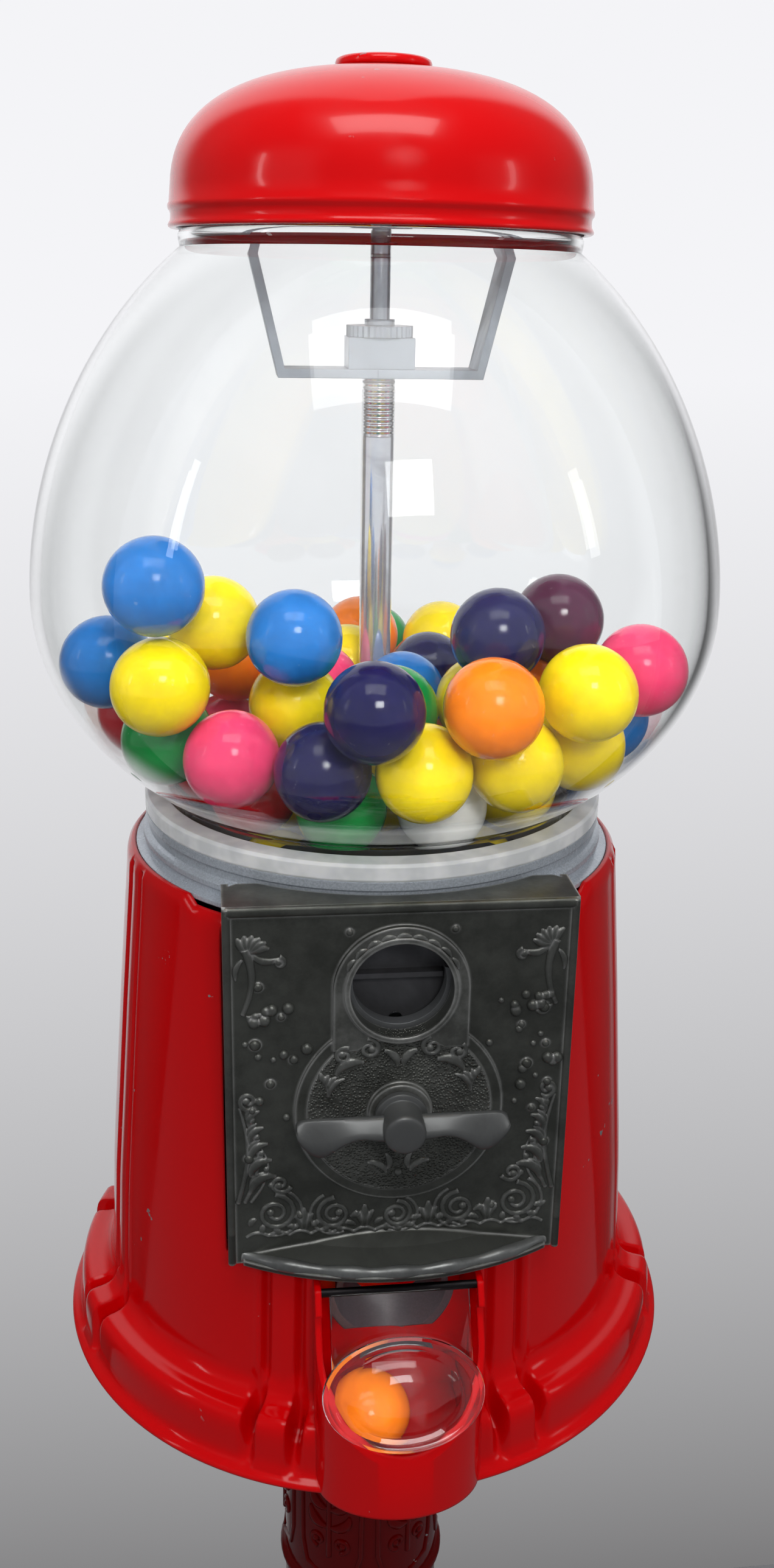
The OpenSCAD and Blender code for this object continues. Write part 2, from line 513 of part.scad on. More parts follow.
module wheel_gumballs() color([0.9,0.75,0.1]) up() for (k=[1:n_pocket-1]) az(k*360/n_pocket) ball([pocket_c,0,floor_z+ball_r+0.3]);

// ---- globe ----
function up_r(a, b, z) = a*pow(1 - pow(abs(z)/b, 1.9), 1/1.9);
module globe_outline(o) {
  a = globe_r-o; n = neck_r-o;
  zt = mouth_z-5;
  polygon(concat([[0,gasket_z-o*4],[n,gasket_z-o*4],[n,z_neck-1.5]],
    [for (i=[0:14]) let (t = -asin((z_neck+1-globe_zc)/-(globe_b-o*0.5))*(1-i/14)) [a*cos(t), globe_zc + (globe_b-o*0.5)*sin(t)]],
    [for (i=[1:14]) let (z = (zt-globe_zc)*i/14) [up_r(a, globe_t, z), globe_zc+z]],
    [[mouth_r-o,mouth_z-3],[mouth_r-o,mouth_z+o*4],[0,mouth_z+o*4]]));
}
module globe() color([0.8,0.9,0.92,0.25]) up() rotate_extrude() difference() { globe_outline(0); globe_outline(glass_t); }
module globe_gasket() color([0.85,0.85,0.85,0.7]) up() translate([0,0,ring_z]) rotate_extrude()
  polygon([[neck_r-glass_t+0.5,0],[ring_r-1.2,0],[ring_r-0.9,0.6],[ring_r-0.9,4.2],[ring_r-1.6,5],[neck_r+0.4,5.4],[neck_r,5],[neck_r,2],[neck_r-glass_t+0.5,2]]);

// ---- centre rod, bracket and lid ----
module center_rod() color([0.7,0.7,0.72]) up() translate([0,0,1]) cylinder(r=rod_r, h=machine_h-8-1);
module rod_base_nut() color([0.6,0.6,0.62]) up() translate([0,0,11]) hexnut(11, 5, rod_r);
module center_tube() color([0.85,0.85,0.87]) up() difference() {
  translate([0,0,floor_z]) cylinder(r=tube_r, h=bar_z-floor_z);
  translate([0,0,floor_z-1]) cylinder(r=rod_r+0.4, h=bar_z);
}
module globe_bracket() color([0.6,0.61,0.63]) up() difference() {
  rotate([90,0,0]) translate([0,0,-strap_w/2]) linear_extrude(strap_w) for (s=[0,1]) mirror([s,0])
    polygon([[-1,bar_z],[bar_hw,bar_z],[leg_hw,mouth_z],[mouth_r+0.2,mouth_z],[mouth_r+0.2,mouth_z+strap_t],[leg_hw-2,mouth_z+strap_t],
      [bar_hw-1.8,bar_z+strap_t],[-1,bar_z+strap_t]]);
  translate([0,0,bar_z-5]) cylinder(r=rod_r+0.1, h=20);
}
module clamp_block() color([0.55,0.56,0.58]) up() translate([0,0,block_z]) difference() {
  translate([-9.2,-7,0]) cube([18.4,14,8.3]); translate([0,0,-1]) cylinder(r=rod_r+0.1, h=20); }
module knurled_nut() color([0.6,0.61,0.63]) up() translate([0,0,nut_z]) linear_extrude(3) difference() {
  polygon([for (k=[0:63]) let (r=k%2==0 ? 9.3 : 8.7) [r*cos(k*5.625), r*sin(k*5.625)]]);
  circle(r=rod_r); }
module rod_collar() color([0.6,0.61,0.63]) up() translate([0,0,nut_z+3]) difference() {
  cylinder(r=4.2, h=1.6); translate([0,0,-1]) cylinder(r=rod_r, h=20); }
module lid_outline(o) {
  a = lid_r-0.7-o; h = dome_h-o; zb = lid_z+band_h;
  polygon(concat([[0,lid_z-2*o]], o>0 ? [[a,lid_z-2*o],[a,zb]] : [[lid_r-0.2,lid_z],[lid_r,lid_z+0.4],[lid_r-0.5,lid_z+1.4],[lid_r-0.5,zb-3],[lid_r,zb-2.4],[lid_r,zb-1],[lid_r-0.7,zb]],
    [for (i=[1:17]) let (t=90*i/18) [a*pow(cos(t),2/2.6), zb+h*pow(sin(t),2/2.6)]], [[0,zb+h]]));
}
module lid() color([0.8,0.02,0.03]) up() rotate_extrude() difference() {
  lid_outline(0); lid_outline(lid_t); translate([-1,0]) square([1+stem_r+run,machine_h+20]); }
module lid_knob() color([0.8,0.02,0.03]) up() {
  zt = lid_z+band_h+dome_h+0.3;
  difference() {
    union() {
      translate([0,0,zt]) rotate_extrude() polygon([[0,0],[knob_r-0.8,0],[knob_r,0.5],[knob_r,machine_h-zt-1.2],[knob_r-1,machine_h-zt-0.4],[knob_r-3,machine_h-zt],[0,machine_h-zt]]);
      translate([0,0,zt-20]) cylinder(r=stem_r, h=21);
    }
    translate([0,0,zt-21]) cylinder(r=rod_r+run, h=18);
  }
}

// ---- flap ----
module flap_outline() {
  translate([-flap_hw,-flap_len+flap_round]) square([2*flap_hw,flap_len-flap_round-0.5]);
  translate([0,-flap_len+flap_round]) scale([(cup_r-1.1)/flap_round,1]) circle(r=flap_round);
}
module flap_door() color([0.85,0.87,0.9,0.4]) up() flap_frame() difference() {
  union() {
    rotate([90,0,0]) linear_extrude(flap_t) flap_outline();
    for (s=[-1,1]) translate([s*(flap_hw-4)-4,0,0]) rotate([0,90,0]) cylinder(r=pin_r+1.1, h=8);
    intersection() {
      translate([0,18,-flap_len+17]) sphere(r=bulge_r);
      translate([-bulge_r,-60,-flap_len+bulge_tip]) cube([2*bulge_r,60-flap_t+0.1,bulge_len]);
    }
  }
  intersection() {
    translate([0,18,-flap_len+17]) sphere(r=bulge_r-1.4);
    translate([-bulge_hw,-60,-flap_len+bulge_tip+2]) cube([2*bulge_hw,80,bulge_len-4]);
  }
  translate([-50,0,0]) rotate([0,90,0]) cylinder(r=pin_r+run, h=100);
}
module flap_pin() color([0.7,0.7,0.72]) up() flap_frame() translate([-cup_r+cup_wall-pin_in,0,0]) rotate([0,90,0]) cylinder(r=pin_r, h=2*(cup_r-cup_wall+pin_in));

// ---- gumballs: rings of balls, one letter of the list per place ----
// each row: radius and height above the hopper ring, both in ball radii, places on the ring, azimuth of the first, colours
// y yellow, b blue, n navy, o orange, p pink, g green, r red, w white, u purple, - empty
RINGS = [[1.865, 0.913, 5, 0, "ybowg"], [3.88, 1.15, 11, -16.4, "gwyborynprr"], [5.56, 2.5, 17, 4.3, "yyybpybwgyyyorgpn"],
         [1.468, 2.937, 4, 20, "bnyp"], [3.49, 3.175, 10, 0, "gyonyowo-y"], [6.43, 4.01, 17, -6.3, "noyp----------by-"],
         [4.563, 4.92, 13, 0, "-nu--------yb"], [6.51, 6.056, 17, -6.3, "---------------b-"]];
module balls(c) up() for (q=RINGS) for (i=[0:len(q[4])-1]) if (q[4][i]==c)
  az(q[3]+i*360/q[2]) ball([q[0]*ball_r,0,ring_z+q[1]*ball_r]);
module gumballs_yellow() color([0.95,0.72,0.05]) balls("y");
module gumballs_blue() color([0.1,0.35,0.7]) balls("b");
module gumballs_navy() color([0.06,0.08,0.3]) balls("n");
module gumballs_orange() color([0.95,0.4,0.05]) balls("o");
module gumballs_pink() color([0.9,0.5,0.6]) balls("p");
module gumballs_green() color([0.1,0.5,0.2]) balls("g");
module gumballs_red() color([0.75,0.05,0.08]) balls("r");
module gumballs_white() color([0.9,0.9,0.88]) balls("w");
module gumballs_purple() color([0.25,0.05,0.2]) balls("u");
module chute_gumball() color([0.95,0.45,0.05]) up() ball([-cup_r+cup_wall+ball_r+0.3,-cup_y-0.5,cup_floor+ball_r]);

stand_foot();
foot_ring();
stand_post();
stand_cap();
stand_tie_rod();
tie_rod_nut();
cap_bolts();
cap_nuts();
base_body();
base_plate();
body_screws();
gum_chute();
coin_plate();
mech_back_plate();
mech_screws();
coin_wheel();
handle_shaft();
turn_handle();
handle_nut();
ratchet_wheel();
shaft_pinion();
idler_gear();
idler_pin();
ratchet_pawl();
pawl_pin();
pawl_spring();
hopper_tray();
gumball_wheel();
outlet_cover();
wheel_gumballs();
globe_gasket();
globe();
center_rod();
rod_base_nut();
center_tube();
globe_bracket();
clamp_block();
knurled_nut();
rod_collar();
lid();
lid_knob();
flap_door();
flap_pin();
gumballs_yellow();
gumballs_blue();
gumballs_navy();
gumballs_orange();
gumballs_pink();
gumballs_green();
gumballs_red();
gumballs_white();
gumballs_purple();
chute_gumball();
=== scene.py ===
# %% [markdown]
# A gumball machine on a pedestal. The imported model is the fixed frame: every
# node already sits in its place, in metres, with +Z up and the front facing -Y.
# This lesson dresses it: first a camera, a wall and soft lights, then the
# finishes, then the pieces whose curves deserve more than the plain solids give.

# %% Load the frame
import math
import random
import bpy
from mathutils import Matrix, Vector


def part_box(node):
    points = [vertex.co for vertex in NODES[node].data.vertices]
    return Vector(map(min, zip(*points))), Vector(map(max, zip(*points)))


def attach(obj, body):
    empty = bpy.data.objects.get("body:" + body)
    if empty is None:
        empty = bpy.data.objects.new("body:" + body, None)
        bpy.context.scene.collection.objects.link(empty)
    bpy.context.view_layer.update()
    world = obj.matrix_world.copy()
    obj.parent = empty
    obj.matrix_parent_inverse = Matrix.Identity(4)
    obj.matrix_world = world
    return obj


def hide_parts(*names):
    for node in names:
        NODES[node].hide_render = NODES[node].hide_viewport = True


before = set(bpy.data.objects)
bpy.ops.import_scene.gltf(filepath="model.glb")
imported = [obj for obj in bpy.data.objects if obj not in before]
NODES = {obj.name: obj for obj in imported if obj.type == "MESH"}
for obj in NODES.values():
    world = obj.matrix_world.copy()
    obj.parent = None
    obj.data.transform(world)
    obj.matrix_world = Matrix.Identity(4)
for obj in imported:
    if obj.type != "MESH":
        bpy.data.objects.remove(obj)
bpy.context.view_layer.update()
MM = 0.001
UNDER = 0.559          # underside of the machine, top of the stand
SHAFT = UNDER + 0.112  # height of the handle's shaft
bpy.ops.object.select_all(action="DESELECT")

# %% [markdown]
# The camera stands a little to the left of the front, about 0.42 m away and a
# little under the lid, and looks down by 19 degrees. Its turn is built from
# three vectors: where it looks, its right side and its up side.

# %% Camera
TURN, DIST, HIGH = math.radians(6.5), 0.4212, 0.3243
PITCH, YAW, ROLL = math.radians(18.98), math.radians(0.61), math.radians(1.1)
FOCAL, TALL = 2377.0, 2576.0      # focal length and height of the picture, in dots
SENSOR = 36.0                     # millimetres on the picture's longer side

scene = bpy.context.scene
scene.view_settings.view_transform = "Standard"
ahead = Vector((math.sin(YAW) * math.cos(PITCH), math.cos(YAW) * math.cos(PITCH), -math.sin(PITCH)))
flat_right = Vector((math.cos(YAW), -math.sin(YAW), 0.0))
flat_up = flat_right.cross(ahead)
right = flat_right * math.cos(ROLL) + flat_up * math.sin(ROLL)
above = -flat_right * math.sin(ROLL) + flat_up * math.cos(ROLL)
spin = Matrix.Rotation(-TURN, 3, "Z")
place = spin @ Vector((0, -DIST, 0)) + Vector((0, 0, UNDER + HIGH))
columns = [spin @ right, spin @ above, spin @ -ahead, place]
bpy.ops.object.camera_add()
camera = bpy.context.object
camera.name = "camera"
camera.matrix_world = Matrix([[c[i] for c in columns] for i in range(3)] + [[0, 0, 0, 1]])
camera.data.sensor_width = SENSOR
camera.data.lens = FOCAL * SENSOR / TALL
camera.data.clip_start = 0.01
scene.camera = camera
print("camera lens", round(camera.data.lens, 2), "mm")

# %% [markdown]
# Every finish is built from nodes. A few helpers keep that short: one adds a
# node, one feeds an input with a number, a colour or another node's output, and
# the others are the small sums that masks are made of.

# %% Helpers for node materials
def add(tree, kind, **values):
    "A new node; a value goes to the input of that name, or else to the setting."
    n = tree.nodes.new(kind)
    for key, value in values.items():
        if key in n.inputs:
            n.inputs[key].default_value = value
        else:
            setattr(n, key, value)
    return n

def feed(tree, socket, value):
    "Gives an input a number, a colour, a vector or another node's output."
    if isinstance(value, (int, float)):
        socket.default_value = value
    elif isinstance(value, tuple):
        socket.default_value = (*value, 1.0)[:len(socket.default_value)]
    else:
        tree.links.new(value, socket)

def dress(tree, node, values):
    for name, value in values.items():
        feed(tree, node.inputs[name], value)

def shader_of(m):
    return next(n for n in m.node_tree.nodes if n.type == "BSDF_PRINCIPLED")

def fresh(name):
    "A new material, its nodes, its shader and the place on the object."
    m = bpy.data.materials.new(name)
    m.use_nodes = True
    return m, m.node_tree, shader_of(m), add(m.node_tree, "ShaderNodeTexCoord").outputs["Object"]

def math_node(tree, op, a, b=0.0, clamp=False):
    n = add(tree, "ShaderNodeMath", operation=op, use_clamp=clamp)
    feed(tree, n.inputs[0], a)
    feed(tree, n.inputs[1], b)
    return n.outputs[0]

def times(tree, first, *others):
    for other in others:
        first = math_node(tree, "MULTIPLY", first, other)
    return first

def ramp(tree, value, low, high, out_low=0.0, out_high=1.0, kind="SMOOTHSTEP"):
    "Carries a value from the span low to high over to out_low to out_high."
    n = add(tree, "ShaderNodeMapRange", interpolation_type=kind)
    dress(tree, n, {"Value": value, "From Min": low, "From Max": high, "To Min": out_low,
                    "To Max": out_high})
    return n.outputs[0]

def mix_colour(tree, factor, a, b):
    n = add(tree, "ShaderNodeMix", data_type="RGBA")
    for place, value in ((0, factor), (6, a), (7, b)):
        feed(tree, n.inputs[place], value)
    return n.outputs[2]

def mix_shaders(tree, factor, a, b):
    n = add(tree, "ShaderNodeMixShader")
    for socket, value in zip(n.inputs, (factor, a, b)):
        feed(tree, socket, value)
    return n.outputs[0]

def split(tree, at):
    "The X, Y and Z of a place."
    n = add(tree, "ShaderNodeSeparateXYZ")
    feed(tree, n.inputs[0], at)
    return n.outputs

print("helpers ready")

# %% [markdown]
# A studio look needs little: a pale floor and a pale wall behind. The wall is
# darker towards the floor, as a wall lit from above is. It glows only for the
# camera and for what glass and enamel show of it, so it throws no light on the
# machine, and from behind it is clear, so that the back can be looked at.

# %% Wall and floor
PALE = (0.3, 0.3, 0.31)
WALL_TOP = 0.84          # height at which the wall reaches its lightest colour

def settle():
    "Moves place, turn and size of the selected object into its mesh."
    bpy.ops.object.transform_apply(location=True, rotation=True, scale=True)

def stage_plane(name, size, place, lean=0.0):
    bpy.ops.mesh.primitive_plane_add(size=size, location=place, rotation=(lean, 0, 0))
    o = bpy.context.object
    o.name = name
    settle()
    m, t, s, at = fresh(name + "_colour")
    dress(t, s, {"Base Color": PALE, "Roughness": 0.9, "Specular IOR Level": 0.1})
    o.data.materials.append(m)
    return o, t, s, at

floor = stage_plane("floor", 8.0, (0, 0, 0))[0]
floor.visible_glossy = False      # enamel does not mirror the floor
wall, t, s, at = stage_plane("wall", 6.0, (0, 0.36, 3.0), math.radians(90))
across, _, up = split(t, at)
feed(t, s.inputs["Base Color"], mix_colour(t, ramp(t, up, 0.0, WALL_TOP), PALE, (0.86, 0.86, 0.88)))
rays = add(t, "ShaderNodeLightPath").outputs
glossy, through = rays["Is Glossy Ray"], rays["Is Transmission Ray"]
seen = math_node(t, "MAXIMUM", rays["Is Camera Ray"], math_node(t, "MAXIMUM", glossy, through))
fade = ramp(t, math_node(t, "ABSOLUTE", across), 0.27, 0.5, 0.0, 0.88)
kept = math_node(t, "SUBTRACT", 1.0, times(t, fade, glossy))
lift = math_node(t, "ADD", 1.0, times(t, through, 0.14))
glow = add(t, "ShaderNodeEmission")
linear = ramp(t, up, 0.0, WALL_TOP, kind="LINEAR")
dress(t, glow, {"Color": mix_colour(t, linear, (0.2, 0.197, 0.2), (0.905, 0.905, 0.93)),
                "Strength": times(t, kept, lift)})
front = mix_shaders(t, seen, s.outputs[0], glow.outputs[0])
back = add(t, "ShaderNodeBsdfTransparent").outputs[0]
behind = add(t, "ShaderNodeNewGeometry").outputs["Backfacing"]
out = next(n for n in t.nodes if n.type == "OUTPUT_MATERIAL")
feed(t, out.inputs[0], mix_shaders(t, behind, front, back))
print("stage", floor.name, wall.name)

# %% [markdown]
# Slim lamps draw the highlights on enamel and glass. Broad ones, which no gloss
# mirrors, fill the light. The sky adds little, but the camera, and what it sees
# through glass, get a pale backdrop from it.

# %% Lamps and world
world = scene.world or bpy.data.worlds.new("world")
scene.world = world
world.use_nodes = True
sky = world.node_tree
rays = add(sky, "ShaderNodeLightPath").outputs
looked_at = math_node(sky, "MAXIMUM", rays["Is Camera Ray"], rays["Is Transmission Ray"])
strength = math_node(sky, "ADD", times(sky, looked_at, 0.6), 0.12)
dress(sky, sky.nodes["Background"], {"Color": (0.9, 0.93, 1.0), "Strength": strength})

def lamp(name, place, size, watts, mirrored=True, through_glass=True):
    "A rectangular lamp that shines on the middle of the machine."
    bpy.ops.object.light_add(type="AREA", location=place)
    o = bpy.context.object
    o.name = name
    aim = Vector((0, 0, UNDER + 0.2)) - Vector(place)
    o.rotation_euler = aim.to_track_quat("-Z", "Y").to_euler()
    o.data.shape = "RECTANGLE"
    o.data.size, o.data.size_y = size
    o.data.energy = watts
    o.visible_glossy = mirrored
    o.visible_transmission = through_glass

lamp("left_strip", (-1.45, -0.45, 1.3), (0.07, 0.5), 0.5)
lamp("right_strip", (1.3, -0.6, 1.25), (0.1, 0.4), 0.35)
lamp("top_window", (-0.05, -0.6, 2.0), (0.95, 0.5), 5.0)
lamp("front_fill", (0.1, -1.2, 1.5), (0.34, 0.3), 8, False)
lamp("left_fill", (-1.2, -0.8, 1.3), (0.8, 0.8), 6, False, False)
lamp("right_fill", (1.3, -0.7, 1.2), (0.8, 0.8), 5, False, False)
lamp("top_fill", (0, -0.45, 2.1), (1.0, 1.0), 8, False, False)

# %% [markdown]
# Several finishes share effects, so each effect is a node group with named
# sockets: fine grain for a bump, paint chips, and handling marks that make a
# surface a little duller here and there. Groups give out only values and
# colours; the shader itself stays in each material.

# %% Shared effects as node groups
F, C, V = "NodeSocketFloat", "NodeSocketColor", "NodeSocketVector"

def group(name, inputs, outputs):
    "A node group, what comes into it and what it gives out."
    g = bpy.data.node_groups.new(name, "ShaderNodeTree")
    for label, kind, value in inputs:
        s = g.interface.new_socket(name=label, in_out="INPUT", socket_type=kind)
        if value is not None:
            s.default_value = value
    for label, kind in outputs:
        g.interface.new_socket(name=label, in_out="OUTPUT", socket_type=kind)
    return g, g.nodes.new("NodeGroupInput").outputs, g.nodes.new("NodeGroupOutput").inputs

def noise(tree, at, **values):
    n = add(tree, "ShaderNodeTexNoise")
    dress(tree, n, dict(values, Vector=at))
    return n.outputs[0]

def use(tree, g, **values):
    "Places a group in a material, with its own values."
    n = add(tree, "ShaderNodeGroup", node_tree=g)
    dress(tree, n, values)
    return n.outputs

grain, given, result = group(
    "fine_grain", [("Vector", V, None), ("Scale", F, 800.0), ("Detail", F, 3.0)], [("Height", F)])
height = noise(grain, given["Vector"], Scale=given["Scale"], Detail=given["Detail"])
grain.links.new(height, result["Height"])

chips, given, result = group(
    "paint_chips", [("Vector", V, None), ("Paint", C, (0.5, 0, 0, 1)), ("Metal", C, (0.4, 0.4, 0.42, 1)),
                    ("Amount", F, 0.5)], [("Color", C), ("Bare", F)])
specks = ramp(chips, noise(chips, given["Vector"], Scale=260.0, Detail=3.0), 0.69, 0.72)
patches = ramp(chips, noise(chips, given["Vector"], Scale=38.0, Detail=2.0), 0.6, 0.64)
bare = math_node(chips, "MULTIPLY", times(chips, specks, patches), given["Amount"], clamp=True)
chips.links.new(mix_colour(chips, bare, given["Paint"], given["Metal"]), result["Color"])
chips.links.new(bare, result["Bare"])

marks, given, result = group(
    "handling_marks", [("Vector", V, None), ("Scale", F, 30.0), ("Low", F, 0.2), ("High", F, 0.35)],
    [("Roughness", F), ("Mask", F)])
cloud = noise(marks, given["Vector"], Scale=given["Scale"], Detail=6.0, Roughness=0.65, Distortion=0.6)
mask = ramp(marks, cloud, 0.38, 0.66)
span = math_node(marks, "SUBTRACT", given["High"], given["Low"])
marks.links.new(math_node(marks, "ADD", given["Low"], times(marks, mask, span)), result["Roughness"])
marks.links.new(mask, result["Mask"])
print("effect groups", [g.name for g in bpy.data.node_groups])

# %% [markdown]
# Red enamel is a thick gloss coat on a casting: almost mirror smooth, with a
# faint ripple, a few grey chips and softly rounded edges. A Bevel node rounds
# the shading of the sharp edges that the solid has.

# %% Red enamel
def tinted(colour, by, lift=0.0):
    return tuple(min(1.0, v * by + lift) for v in colour)

def bump(tree, height, strength, distance, before=None):
    n = add(tree, "ShaderNodeBump", Strength=strength, Distance=distance)
    feed(tree, n.inputs["Height"], height)
    if before is not None:
        feed(tree, n.inputs["Normal"], before)
    return n.outputs[0]

def grainy(tree, at, scale, detail, strength, depth, round_by=None):
    "Fine grain over edges that are rounded in the shading."
    height = use(tree, grain, Vector=at, Scale=scale, Detail=detail)["Height"]
    soft = add(tree, "ShaderNodeBevel", Radius=round_by).outputs[0] if round_by else None
    return bump(tree, height, strength, depth, soft)

def enamel(name, colour, amount, round_by=0.0012, shine=0.3, dull=0.0):
    m, t, s, at = fresh(name)
    coat = use(t, chips, Vector=at, Paint=colour, Metal=(0.42, 0.42, 0.43), Amount=amount)
    smooth = use(t, marks, Vector=at, Scale=22.0, Low=0.08 + dull, High=0.17 + dull)["Roughness"]
    dress(t, s, {"Base Color": coat["Color"], "Metallic": times(t, coat["Bare"], 0.8),
                 "Roughness": math_node(t, "MAXIMUM", smooth, times(t, coat["Bare"], 0.5)),
                 "Specular IOR Level": shine, "Coat Weight": shine * 0.7, "Coat Roughness": 0.06,
                 "Normal": grainy(t, at, 140.0, 1.0, 0.12, 0.0002, round_by)})
    return m

red = enamel("red_enamel", (0.46, 0.0, 0.001), 1.0)
lid_red = enamel("red_enamel_lid", (0.6, 0.001, 0.002), 0.6, 0.0006, 0.42, 0.07)
# Painted shade: the post, its cap and its foot get a much darker red than the base, for the shade under the
# machine; their real paint is likely the base's red.
post_red_painted_shade = enamel("red_enamel_post_painted_shade", (0.08, 0.0, 0.0), 0.8, shine=0.2)
print("enamel", red.name, lid_red.name, post_red_painted_shade.name)

# %% [markdown]
# The coin plate is a zinc casting with a black antique finish. Its raised parts and
# its edges are lighter, partly worn bright by years of hands and partly a painted
# highlight, so the colour follows how far a point stands out from the plate. The
# disc round the handle is pebbled, and the top of the awning is rougher than the
# rest, with a painted shade that darkens its colour.

# %% Antique zinc
# Edges are found where the rounded shading turns away from the true normal; they get the light colour,
# partly as worn metal and partly as a painted highlight.
worn_and_highlit, given, result = group("worn_and_highlit_edges", [("Width", F, 0.0008), ("Cloud", F, 0.5)], [("Mask", F)])
turned = add(worn_and_highlit, "ShaderNodeBevel")
feed(worn_and_highlit, turned.inputs["Radius"], given["Width"])
agree = add(worn_and_highlit, "ShaderNodeVectorMath", operation="DOT_PRODUCT")
feed(worn_and_highlit, agree.inputs[0], turned.outputs[0])
feed(worn_and_highlit, agree.inputs[1], add(worn_and_highlit, "ShaderNodeNewGeometry").outputs["Normal"])
edge = ramp(worn_and_highlit, agree.outputs["Value"], 0.8, 0.985, 1.0, 0.0)
worn_and_highlit.links.new(math_node(worn_and_highlit, "MULTIPLY", edge, given["Cloud"], clamp=True), result["Mask"])

def pebbles(t, at, x, z, out):
    "Height of the pebbles, which lie on the sunk ring of the dial only."
    level = add(t, "ShaderNodeCombineXYZ")
    dress(t, level, {"X": x, "Z": z})
    off = add(t, "ShaderNodeVectorMath", operation="DISTANCE")
    feed(t, off.inputs[0], level.outputs[0])
    feed(t, off.inputs[1], (0, 0, SHAFT))
    away = off.outputs["Value"]
    cells = add(t, "ShaderNodeTexVoronoi", Scale=1350.0)
    feed(t, cells.inputs["Vector"], at)
    ring = times(t, ramp(t, away, 0.0247, 0.0255, 1.0, 0.0), ramp(t, away, 0.009, 0.0096))
    sunk = ramp(t, out, 0.07765, 0.0777, 1.0, 0.0)
    return times(t, ring, sunk, ramp(t, cells.outputs["Distance"], 0.1, 0.7, 1.0, 0.0))

def zinc(name, dark, light, pebbled=False):
    m, t, s, at = fresh(name)
    x, y, z = split(t, at)
    out = times(t, y, -1.0)
    mottle = noise(t, at, Scale=60.0, Detail=6.0, Roughness=0.7)
    toned = mix_colour(t, ramp(t, mottle, 0.3, 0.7), dark, tinted(dark, 1.7))
    rough = use(t, marks, Vector=at, Scale=55.0, Low=0.28, High=0.44)["Roughness"]
    normal = grainy(t, at, 420.0, 4.0, 0.35, 0.0002, 0.0006)
    if pebbled:
        # The top of the awning is made rougher, and its colour darker as a painted shade.
        low_down = ramp(t, z, UNDER + 0.0735, UNDER + 0.0745, 1.0, 0.0)
        awning = times(t, low_down, ramp(t, out, 0.0763, 0.0767))
        toned = mix_colour(t, awning, toned, tinted(dark, 0.85))
        rough = math_node(t, "ADD", rough, times(t, awning, 0.3))
        normal = bump(t, pebbles(t, at, x, z, out), 1.0, 0.0003, normal)
    # Edges and raised parts get the light colour: partly real wear, partly a painted highlight.
    wear_and_highlight = use(t, worn_and_highlit, Width=0.0013, Cloud=ramp(t, mottle, 0.25, 0.6, 0.35, 1.0))["Mask"]
    proud = times(t, ramp(t, out, 0.0768, 0.079), ramp(t, z, UNDER + 0.073, UNDER + 0.076))
    raised = times(t, proud, ramp(t, mottle, 0.4, 0.7, 0.1, 0.45))
    rubbed_and_highlit = math_node(t, "MAXIMUM", wear_and_highlight, raised)
    dress(t, s, {"Base Color": mix_colour(t, rubbed_and_highlit, toned, light), "Roughness": rough, "Metallic": 0.85,
                 "Normal": normal})
    return m

plate_zinc = zinc("antique_zinc", (0.088, 0.091, 0.081), (0.75, 0.75, 0.72), pebbled=True)
relief_zinc = zinc("antique_zinc_relief", (0.11, 0.114, 0.104), (0.56, 0.56, 0.54))
lip_zinc = zinc("antique_zinc_lip", (0.2, 0.205, 0.2), (0.7, 0.7, 0.68))
print("zinc", plate_zinc.name, relief_zinc.name, lip_zinc.name)

# %% [markdown]
# Bare metals differ in colour, in how dull they are and in how coarse their
# grain is, so one function makes them all. The tops of the rod and of its
# sleeve carry a thread, whose ridges are a wave along the height.

# %% Bare metals
THREAD = 0.0016          # distance from ridge to ridge

def metal(name, colour, low, high, metallic=1.0, grains=300.0, depth=0.00008):
    m, t, s, at = fresh(name)
    touched = use(t, marks, Vector=at, Scale=40.0, Low=low, High=high)
    dress(t, s, {"Base Color": mix_colour(t, touched["Mask"], colour, tinted(colour, 0.78)),
                 "Roughness": touched["Roughness"], "Metallic": metallic,
                 "Normal": grainy(t, at, grains, 3.0, 0.3, depth, 0.0004)})
    return m

def thread(m, node, length):
    "Adds the ridges of a screw thread to the top of a node."
    t, normal = m.node_tree, shader_of(m).inputs["Normal"]
    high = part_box(node)[1][2]
    low, run_out = high - length, 0.0006
    z = split(t, add(t, "ShaderNodeTexCoord").outputs["Object"])[2]
    wave = math_node(t, "SINE", times(t, z, math.tau / THREAD))
    here = times(t, ramp(t, z, low, low + run_out), ramp(t, z, high - run_out, high, 1.0, 0.0))
    feed(t, normal, bump(t, times(t, wave, here), 0.7, 0.00025, normal.links[0].from_socket))

handle_zinc = metal("cast_handle", (0.17, 0.174, 0.172), 0.4, 0.52, 0.8, grains=700.0)
steel = metal("plated_steel", (0.55, 0.56, 0.58), 0.26, 0.4)
dull_zinc = metal("dull_zinc_strap", (0.5, 0.53, 0.57), 0.34, 0.5, 0.7, grains=500.0)
chrome = metal("bright_chrome", (0.86, 0.86, 0.88), 0.1, 0.18, 0.75, grains=900.0, depth=0.00002)
dark_pin = metal("darkened_pin", (0.05, 0.045, 0.047), 0.45, 0.6)
rod_steel = metal("threaded_rod", (0.6, 0.62, 0.66), 0.26, 0.4, 0.75)
brass = metal("brass", (0.68, 0.5, 0.22), 0.25, 0.4)
cast_wheel = metal("cast_coin_wheel", (0.33, 0.34, 0.35), 0.35, 0.5, 0.85)
sheet_steel = metal("dark_sheet", (0.2, 0.2, 0.21), 0.4, 0.55, 0.8)
thread(chrome, "center_tube", 0.016)
thread(rod_steel, "center_rod", 0.043)
print("metals", handle_zinc.name, chrome.name, rod_steel.name)

# %% [markdown]
# Plastics: the hopper ring is moulded in silver-grey with fine flakes, the
# wheel and the outlet cover are black, and the foot ring is matte rubber.
# The gasket is soft, milky vinyl that lets some light through.

